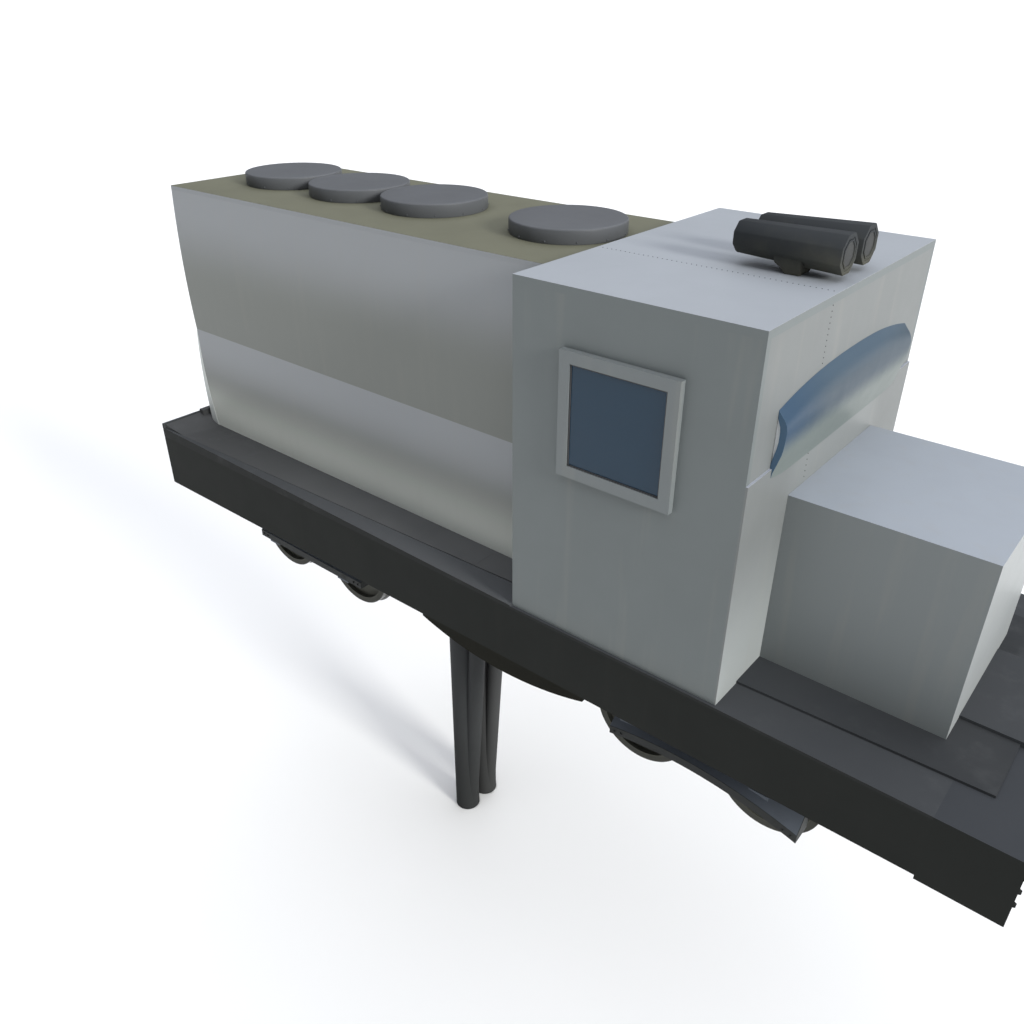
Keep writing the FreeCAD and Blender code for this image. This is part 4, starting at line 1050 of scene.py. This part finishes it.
@dataclass
class Cab:
    """The full-width cab: painted walls, framed side windows, doors, seams and its floor."""

    fasteners: FastenerTree
    roof_seam: float = -0.460
    face_seam: float = -0.542
    seam_pitch: float = 0.0425
    upper_seam: tuple[float, float] = (2.809, 2.405)
    lower_seam: tuple[float, float] = (1.728, 1.540)
    bead: float = 0.007
    door_bead: float = 0.005
    handle_height: float = 1.05

    def seams(self) -> None:
        """Rivets along the sheet joint that runs over the roof and down the front."""
        low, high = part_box("cab_roof")
        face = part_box("cab_front")[1].x
        spots = row((low.x + 0.05, self.roof_seam, high.z), (high.x - 0.04, self.roof_seam, high.z),
                    int((high.x - low.x) / self.seam_pitch), (0, 0, 1))
        for plane, (top, foot), count in ((face - LEDGE, self.upper_seam, 11), (face, self.lower_seam, 5)):
            spots += row((plane, self.face_seam, DECK + top), (plane, self.face_seam, DECK + foot), count, (1, 0, 0))
        self.fasteners.set_rows("cab_seam_rivets", spots, SILL_BLACK, 0.0045, 0.003, sides=8, crown=0.5)

    def window_beads(self) -> None:
        """Rubber beads round the side panes."""
        low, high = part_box("side_glass")
        inset = self.bead * 0.8
        rear, front, foot, top = low.x + inset, high.x - inset, low.z + inset, high.z - inset
        for name, side in SIDES:
            plane = side * (max(abs(low.y), abs(high.y)) + 0.003)
            corners = [(rear, plane, foot), (front, plane, foot), (front, plane, top), (rear, plane, top)]
            Shape().tube(border(corners, 0.006), self.bead, closed=True).piece(f"window_bead_{name}", GASKET)

    def door_fittings(self) -> None:
        """A lever handle and a rubber bead on each door."""
        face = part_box("cab_rear_wall")[1].x - 0.050
        height = DECK + self.handle_height
        for (name, side), body in zip(SIDES, (Body.RIGHT_DOOR, Body.LEFT_DOOR)):
            low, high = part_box(f"cab_door_{name}")
            free = min(abs(low.y), abs(high.y)) + 0.05
            lever = [(0.002, 0.0), (0.030, 0.0), (0.036, 0.008), (0.036, 0.10), (0.030, 0.112)]
            shape = Shape()
            shape.turned([(0.0, 0.0), (0.024, 0.0), (0.026, 0.004), (0.022, 0.010), (0.0, 0.011)],
                         (face - 0.011, side * free, height), axis="X", sides=24)
            shape.tube([(face - out, side * (free + along), height) for out, along in lever], 0.008, sides=12)
            shape.piece(f"door_handle_{name}", HANDLE_STEEL, body)
            low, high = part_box(f"door_glass_{name}")
            edge = (low.x + high.x) / 2 - 0.006
            corners = [(edge, low.y, low.z), (edge, high.y, low.z), (edge, high.y, high.z), (edge, low.y, high.z)]
            Shape().tube(border(corners, 0.02), self.door_bead, closed=True).piece(f"door_bead_{name}", GASKET, body)

    def build(self) -> None:
        """Dress the cab."""
        paint(CAB_GREY, "cab_side_right", "cab_side_left", "cab_rear_wall", "cab_door_right", "cab_door_left")
        paint(FACE_GREY, "cab_front")
        paint(ROOF_PALE, "cab_roof")
        paint(NOSE_GREY, "nose_shell")
        paint(WINDOW_GREY, "side_window_right", "side_window_left")
        paint(DARK_GLASS, "side_glass", "door_glass_right", "door_glass_left")
        paint(MATTING, "cab_floor")
        self.seams()
        self.window_beads()
        self.door_fittings()


@dataclass
class RoofLamp:
    """One eight-sided lamp barrel with stepped rings on its face and a sloped foot."""

    name: str
    tail_shift: float = 0.0
    tail_lift: float = 0.012
    tail_reach: float = 0.114
    reach: float = 0.138
    length: float = 0.835
    softness: float = 0.10

    def ring(self, reach: float, x: float, y: float, z: float) -> list[Point]:
        """An eight-sided ring whose corners are eased.

        Args:
            reach: from its middle to its flats.
            x: where its middle lies along the locomotive.
            y: where its middle lies across it.
            z: its middle's height.

        Returns:
            The ring's points.
        """
        points = []
        corner = reach / math.cos(math.pi / 8)
        for index in range(8):
            tip = math.pi / 8 + index * math.pi / 4
            peak = (corner * math.cos(tip), corner * math.sin(tip))
            for turn in (tip - math.pi / 8, tip + math.pi / 8):
                flank = (reach * math.cos(turn), reach * math.sin(turn))
                spot = [a * self.softness + b * (1 - self.softness) for a, b in zip(flank, peak)]
                points.append((x, y + spot[0], z + spot[1]))
        return points

    def build(self) -> None:
        """The barrel, its lens and its foot, in place of its node."""
        low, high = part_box(f"roof_lamp_{self.name}")
        y = (low.y + high.y) / 2
        z = high.z - self.reach
        face = low.x + self.length
        rings = [self.ring(self.tail_reach * share, low.x + along, y + self.tail_shift, z + self.tail_lift)
                 for share, along in ((0.80, 0.0), (0.93, 0.008), (1.0, 0.022))]
        rings += [self.ring(self.reach * share, face - back, y, z)
                  for share, back in ((1.0, 0.016), (0.985, 0.012), (0.80, 0.012), (0.785, 0.017), (0.70, 0.017),
                                      (0.69, 0.010), (0.60, 0.010), (0.585, 0.016))]
        Shape().loft(rings).piece(f"lamp_barrel_{self.name}", LAMP_BLACK, stands_for=[f"roof_lamp_{self.name}"],
                                  smooth=60.0)
        rings = [self.ring(self.reach * share, face - back, y, z)
                 for share, back in ((0.60, 0.025), (0.59, 0.016), (0.30, 0.014), (0.02, 0.013))]
        Shape().loft(rings).piece(f"lamp_lens_{self.name}", LENS_GLASS, smooth=60.0)
        levels = ((low.z, 0.415, 0.300, 0.090), (low.z + 0.045, 0.455, 0.295, 0.098),
                  (low.z + 0.075, 0.500, 0.290, 0.104), (z - 0.05, 0.510, 0.285, 0.106))
        rings = [flat(face - back, face - front, y - half, y + half, height) for height, back, front, half in levels]
        Shape().loft(rings).piece(f"lamp_foot_{self.name}", LAMP_BLACK, bevel=0.006)


@dataclass
class Underframe:
    """Deck, sills, pilot and walkways, with the bolts and plates of their ends."""

    fasteners: FastenerTree
    bolt_radius: float = 0.022
    bolt_rise: float = 0.018
    coupler_drop: float = 0.33

    def end(self, name: str, plane: float, out: float) -> None:
        """Rows of bolts and a raised plate round the coupler's opening at one end.

        Args:
            name: rear or front.
            plane: where the end's face lies.
            out: 1 where it faces forward and -1 where it faces back.
        """
        spots = []
        for side in (-1, 1):
            for across, foot, top in ((0.19, 0.50, 0.16), (1.42, 0.48, 0.10)):
                spots += row((plane, side * across, DECK - foot), (plane, side * across, DECK - top), 4, (out, 0, 0))
        self.fasteners.set_rows(f"{name}_end_bolts", spots, SILL_BLACK, self.bolt_radius, self.bolt_rise)
        middle = DECK - self.coupler_drop
        section = ((0.134, 0.0), (0.134, 0.016), (0.140, 0.022), (0.165, 0.022), (0.170, 0.016), (0.170, 0.0),
                   (0.134, 0.0))
        rings = [[(plane + out * (rise + 0.0005), y * reach, middle + z * reach)
                  for y, z in ((-1, -1), (1, -1), (1, 1), (-1, 1))] for reach, rise in section]
        Shape().loft(rings, capped=False).piece(f"{name}_striker_plate", SILL_BLACK)

    def build(self) -> None:
        """Dress the underframe."""
        paint(SILL_BLACK, "side_sill_right", "side_sill_left", "rear_end_beam", "centre_sill", "bolsters")
        paint(PILOT_BLACK, "front_pilot")
        paint(DECK_GREY, "deck_plate", "centre_plate")
        paint(WALKWAY_DARK, "walkway_right", "walkway_left")
        self.end("rear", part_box("rear_end_beam")[0].x, -1)
        self.end("front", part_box("front_pilot")[1].x, 1)


@dataclass
class FuelTank:
    """The belly tank with its straps and fillers."""

    belly: float = 0.165
    strap_width: float = 0.070
    strap_rise: float = 0.006
    strap_top: float = 0.48
    strap_places: tuple[float, ...] = (-0.45, -0.86, 0.45, 0.86)

    def line(self, rise: float) -> list[tuple[float, float]]:
        """A line down the tank's ends and along its belly's arc.

        Args:
            rise: how far outside the tank it lies.

        Returns:
            The line's places along the tank and their heights.
        """
        low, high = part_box("fuel_tank")
        half = (high.x - low.x) / 2
        radius = (half * half + self.belly * self.belly) / (2 * self.belly)
        turns = [math.asin(half / radius) * (2 * (index / 24) - 1) for index in range(25)]
        arc = [((low.x + high.x) / 2 + (radius + rise) * math.sin(turn),
                low.z + radius - (radius + rise) * math.cos(turn)) for turn in turns]
        return [(low.x - rise, DECK - self.strap_top), *arc, (high.x + rise, DECK - self.strap_top)]

    def straps(self) -> None:
        """Straps that hug the tank's ends and belly."""
        shape = Shape()
        for place in self.strap_places:
            near = place - self.strap_width / 2
            far = near + self.strap_width
            shape.loft([[(ox, near, oz), (ox, far, oz), (ix, far, iz), (ix, near, iz)]
                        for (ox, oz), (ix, iz) in zip(self.line(self.strap_rise), self.line(0.0))])
        shape.piece("tank_straps", SILL_BLACK)

    def fillers(self) -> None:
        """A filler neck and cap on each side."""
        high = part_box("fuel_tank")[1]
        profile = [(0.0, 0.0), (0.052, 0.0), (0.052, 0.030), (0.060, 0.032), (0.062, 0.052), (0.054, 0.058),
                   (0.0, 0.059)]
        shape = Shape()
        for side in (-1, 1):
            shape.turned([(radius, side * height) for radius, height in profile],
                         (high.x - 0.35, side * high.y, DECK - 0.78), axis="Y", sides=32)
        shape.piece("tank_fillers", COUPLER_IRON, smooth=40.0)

    def build(self) -> None:
        """Dress the tank."""
        paint(TANK_DARK, "fuel_tank")
        self.straps()
        self.fillers()


@dataclass
class RunningGear:
    """Bogies, wheels and couplers."""

    fasteners: FastenerTree

    def bolts(self, name: str, body: Body, lifts: Sequence[float]) -> None:
        """Bolts along each side frame's band.

        Args:
            name: rear or front.
            body: the bogie's body.
            lifts: each bolt's height above the side frame's foot, from the rear.
        """
        low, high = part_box(f"bogie_{name}")
        places = (low.x + 0.05, low.x + 0.12, high.x - 0.12, high.x - 0.05)
        spots = [((place, side * high.y, low.z + lift), (0.0, side, 0.0))
                 for _, side in SIDES for place, lift in zip(places, lifts)]
        self.fasteners.set_rows(f"side_frame_bolts_{name}", spots, BOGIE_IRON, 0.014, 0.012, body)

    def knuckle(self, name: str, body: Body, out: float) -> None:
        """The pin of a coupler head's knuckle.

        Args:
            name: rear or front.
            body: the coupler's body.
            out: 1 at the front and -1 at the rear.
        """
        low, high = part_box(f"{name}_coupler")
        tip = high.x if out > 0 else low.x
        shape = Shape()
        for height, rise in ((high.z, 0.020), (low.z, -0.020)):
            shape.turned([(0.0, 0.0), (0.030, 0.0), (0.030, rise * 0.7), (0.022, rise), (0.0, rise)],
                         (tip - out * 0.10, 0.09, height), sides=24)
        shape.piece(f"{name}_knuckle_pin", COUPLER_IRON, body, smooth=40.0)

    def build(self) -> None:
        """Dress the running gear."""
        paint(BOGIE_IRON, "bogie_rear", "bogie_front")
        paint(WHEEL_STEEL, *WHEELSETS)
        paint(COUPLER_IRON, "rear_coupler", "front_coupler")
        self.bolts("rear", Body.REAR_BOGIE, (0.127, 0.127, 0.127, 0.127))
        self.bolts("front", Body.FRONT_BOGIE, (0.130, 0.143, 0.066, 0.048))
        self.knuckle("rear", Body.REAR_COUPLER, -1)
        self.knuckle("front", Body.FRONT_COUPLER, 1)


@dataclass
class Posts:
    """The two posts that carry the locomotive."""

    radius: float = 0.155
    spread: float = 0.173

    def build(self) -> None:
        """Dress the posts and add the weld collars at their heads."""
        paint(POST_GREY, "posts")
        shape = Shape()
        for _, side in SIDES:
            shape.turned([(self.radius, -0.022), (self.radius + 0.007, -0.016), (self.radius + 0.012, -0.006),
                          (self.radius + 0.013, 0.0), (self.radius, 0.0), (self.radius, -0.022)],
                         (0.0, side * self.spread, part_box("posts")[1].z), sides=40)
        shape.piece("post_welds", POST_GREY, smooth=60.0)


@dataclass
class CabInside:
    """The driver's seat and the control stand."""

    pad_rise: float = 0.022
    pad_steps: int = 28
    pad_thickness: float = 0.09
    seat_height: float = 0.52

    def pad(self, name: str, low: Vector, high: Vector, crown: str, stands_for: Sequence[str] = ()) -> None:
        """A crowned pad whose sides pull in between its corners.

        Args:
            name: the piece's name.
            low: its lowest corner.
            high: its highest corner.
            crown: the axis along which it is crowned, X or Z.
            stands_for: the nodes that it replaces.
        """
        order = (0, 1, 2) if crown == "Z" else (2, 1, 0)
        wide, deep, thick = ((high - low)[axis] for axis in order)
        rings = []
        for level, inset in ((0.0, 0.020), (0.10, 0.004), (0.5, 0.0), (0.85, 0.010), (1.0, 0.040)):
            ring = []
            for index in range(self.pad_steps * 4):
                side, share = divmod(index, self.pad_steps)
                share /= self.pad_steps
                u, v = ((share, 0.0), (1.0, share), (1.0 - share, 1.0), (0.0, 1.0 - share))[side]
                pull = 0.010 * math.sin(math.pi * share)
                u = 0.5 + (u - 0.5) * (1.0 - 2 * (inset + pull) / wide)
                v = 0.5 + (v - 0.5) * (1.0 - 2 * (inset + pull) / deep)
                ring.append((u * wide, v * deep, level * (thick - self.pad_rise)))
            rings.append(ring)
        top = rings[-1]
        for shrink, lift in ((0.80, 0.55), (0.55, 0.85), (0.25, 0.98), (0.02, 1.0)):
            rings.append([(wide / 2 + (x - wide / 2) * shrink, deep / 2 + (y - deep / 2) * shrink,
                           thick - self.pad_rise * (1.0 - lift)) for x, y, _ in top])
        placed = [[tuple(low[axis] + point[order[axis]] for axis in range(3)) for point in ring] for ring in rings]
        piece = Shape().loft(placed).piece(name, VINYL, stands_for=stands_for, smooth=70.0)

    def seat(self) -> None:
        """The driver's seat: its cushion, its back and its pedestal."""
        low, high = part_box("driver_seat")
        seat = self.seat_height + self.pad_thickness + DECK
        self.pad("seat_cushion", Vector((low.x, low.y, seat - self.pad_thickness)), Vector((high.x, high.y, seat)),
                 "Z", ["driver_seat"])
        self.pad("seat_back", Vector((low.x, low.y + 0.01, seat + 0.004)),
                 Vector((low.x + self.pad_thickness, high.y - 0.01, high.z)), "X")
        profile = [(0.0, 0.0), (0.16, 0.0), (0.16, 0.012), (0.07, 0.024), (0.050, 0.05), (0.050, 0.30),
                   (0.036, 0.305), (0.036, 0.41), (0.15, 0.415), (0.15, 0.428), (0.0, 0.428)]
        middle = ((low.x + high.x) / 2, (low.y + high.y) / 2, low.z)
        Shape().turned(profile, middle, sides=36).piece("seat_pedestal", STAND_GREY, smooth=40.0)

    def gauges(self) -> None:
        """Round gauges and two levers on the control stand."""
        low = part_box("control_stand")[0]
        profile = [(0.0, 0.0), (0.056, 0.0), (0.056, -0.014), (0.048, -0.016), (0.045, -0.008), (0.0, -0.008)]
        shape = Shape()
        for index in range(3):
            shape.turned(profile, (low.x - 0.001, low.y + 0.16 + 0.15 * index, low.z + 0.93), axis="X", sides=36)
        shape.piece("stand_gauges", LENS_GLASS, smooth=40.0)
        levers = Shape()
        for index, lean in enumerate((0.05, 0.10)):
            x, y, z = low.x + 0.10, low.y + 0.15 + 0.30 * index, low.z + 1.075
            levers.tube([(x, y, z), (x - lean * 0.3, y, z + 0.08), (x - lean, y, z + 0.17)], 0.009, sides=14)
            levers.turned([(0.0, -0.022), (0.016, -0.016), (0.022, 0.0), (0.016, 0.016), (0.0, 0.022)],
                          (x - lean, y, z + 0.185), sides=24)
        levers.piece("stand_levers", GASKET, smooth=50.0)

    def build(self) -> None:
        """Dress the inside."""
        self.seat()
        paint(STAND_GREY, "control_stand")
        self.gauges()


@dataclass
class Studio:
    """A plain pale floor, soft light and the camera."""

    eye: Point = (5.926, -6.303, 9.446)
    back: Point = (0.5567, -0.6634, 0.5)
    field_of_view: float = 60.0
    floor_tone: Colour = rgb(0.87, 0.86, 0.83)
    floor_reach: float = 120000.0
    sight: float = 125000.0

    def floor(self) -> None:
        """A floor at the feet of the posts."""
        reach = self.floor_reach
        floor = Shape(flat(-reach, reach, -reach, reach, 0.0), [(0, 1, 2, 3)]).make("studio_floor")
        sheet = NodeSheet("studio_floor")
        tone = sheet.blend(sheet.noise(0.6, 4.0), darker(self.floor_tone, 0.995), darker(self.floor_tone, 1.005))
        floor.data.materials.append(sheet.surface({"Base Color": tone, "Roughness": 0.95}))

    def light(self, name: str, way: Point, strength: float, colour: Point, softness: float) -> None:
        """A far soft light.

        Args:
            name: the light's name.
            way: the direction in which it shines.
            strength: its strength.
            colour: its colour.
            softness: how wide it is in the sky, in degrees.
        """
        lamp = bpy.data.lights.new(name, "SUN")
        lamp.energy = strength
        lamp.color = colour
        lamp.angle = math.radians(softness)
        linked(name, lamp).rotation_euler = Vector(way).to_track_quat("-Z", "Y").to_euler()

    def sky(self) -> None:
        """Soft light from all round, with a white backdrop for the camera."""
        world = bpy.data.worlds.new("studio")
        world.use_nodes = True
        sheet = Nodes(world.node_tree)
        soft = sheet.node("ShaderNodeBackground", {"Color": rgb(0.94, 0.97, 1.0), "Strength": 0.2})
        white = sheet.node("ShaderNodeBackground", {"Color": rgb(1.0, 1.0, 1.0), "Strength": 1.0})
        seen = sheet.node("ShaderNodeLightPath", {}, "Is Camera Ray")
        sheet.node("ShaderNodeOutputWorld", {0: sheet.node("ShaderNodeMixShader", {0: seen, 1: soft, 2: white})})
        bpy.context.scene.world = world

    def build(self) -> None:
        """Set the floor, the lights and the camera."""
        bpy.context.scene.view_settings.view_transform = "Standard"
        self.floor()
        self.light("overhead", (-0.10, -0.12, -1.0), 2.9, (0.965, 1.0, 1.10), 110.0)
        self.light("ahead", (-0.93, 0.10, -0.33), 3.1, (1.0, 1.0, 0.985), 14.0)
        self.sky()
        camera = bpy.data.cameras.new("camera")
        camera.angle = math.radians(self.field_of_view)
        camera.clip_end = self.sight
        holder = linked("camera", camera)
        holder.location = self.eye
        holder.rotation_euler = (-Vector(self.back)).to_track_quat("-Z", "Y").to_euler()
        bpy.context.scene.camera = holder


def main() -> None:
    """Build every sub-assembly in order."""
    logging.basicConfig(level=logging.INFO, format="%(message)s")
    fasteners = FastenerTree()
    for group in (Studio(), Hood(fasteners), Cab(fasteners), Windshield(), RoofLamp("right"),
                  RoofLamp("left", tail_shift=-0.024, tail_lift=0.0), Underframe(fasteners), FuelTank(),
                  RunningGear(fasteners), Posts(), CabInside()):
        group.build()


if __name__ == "__main__":
    main()
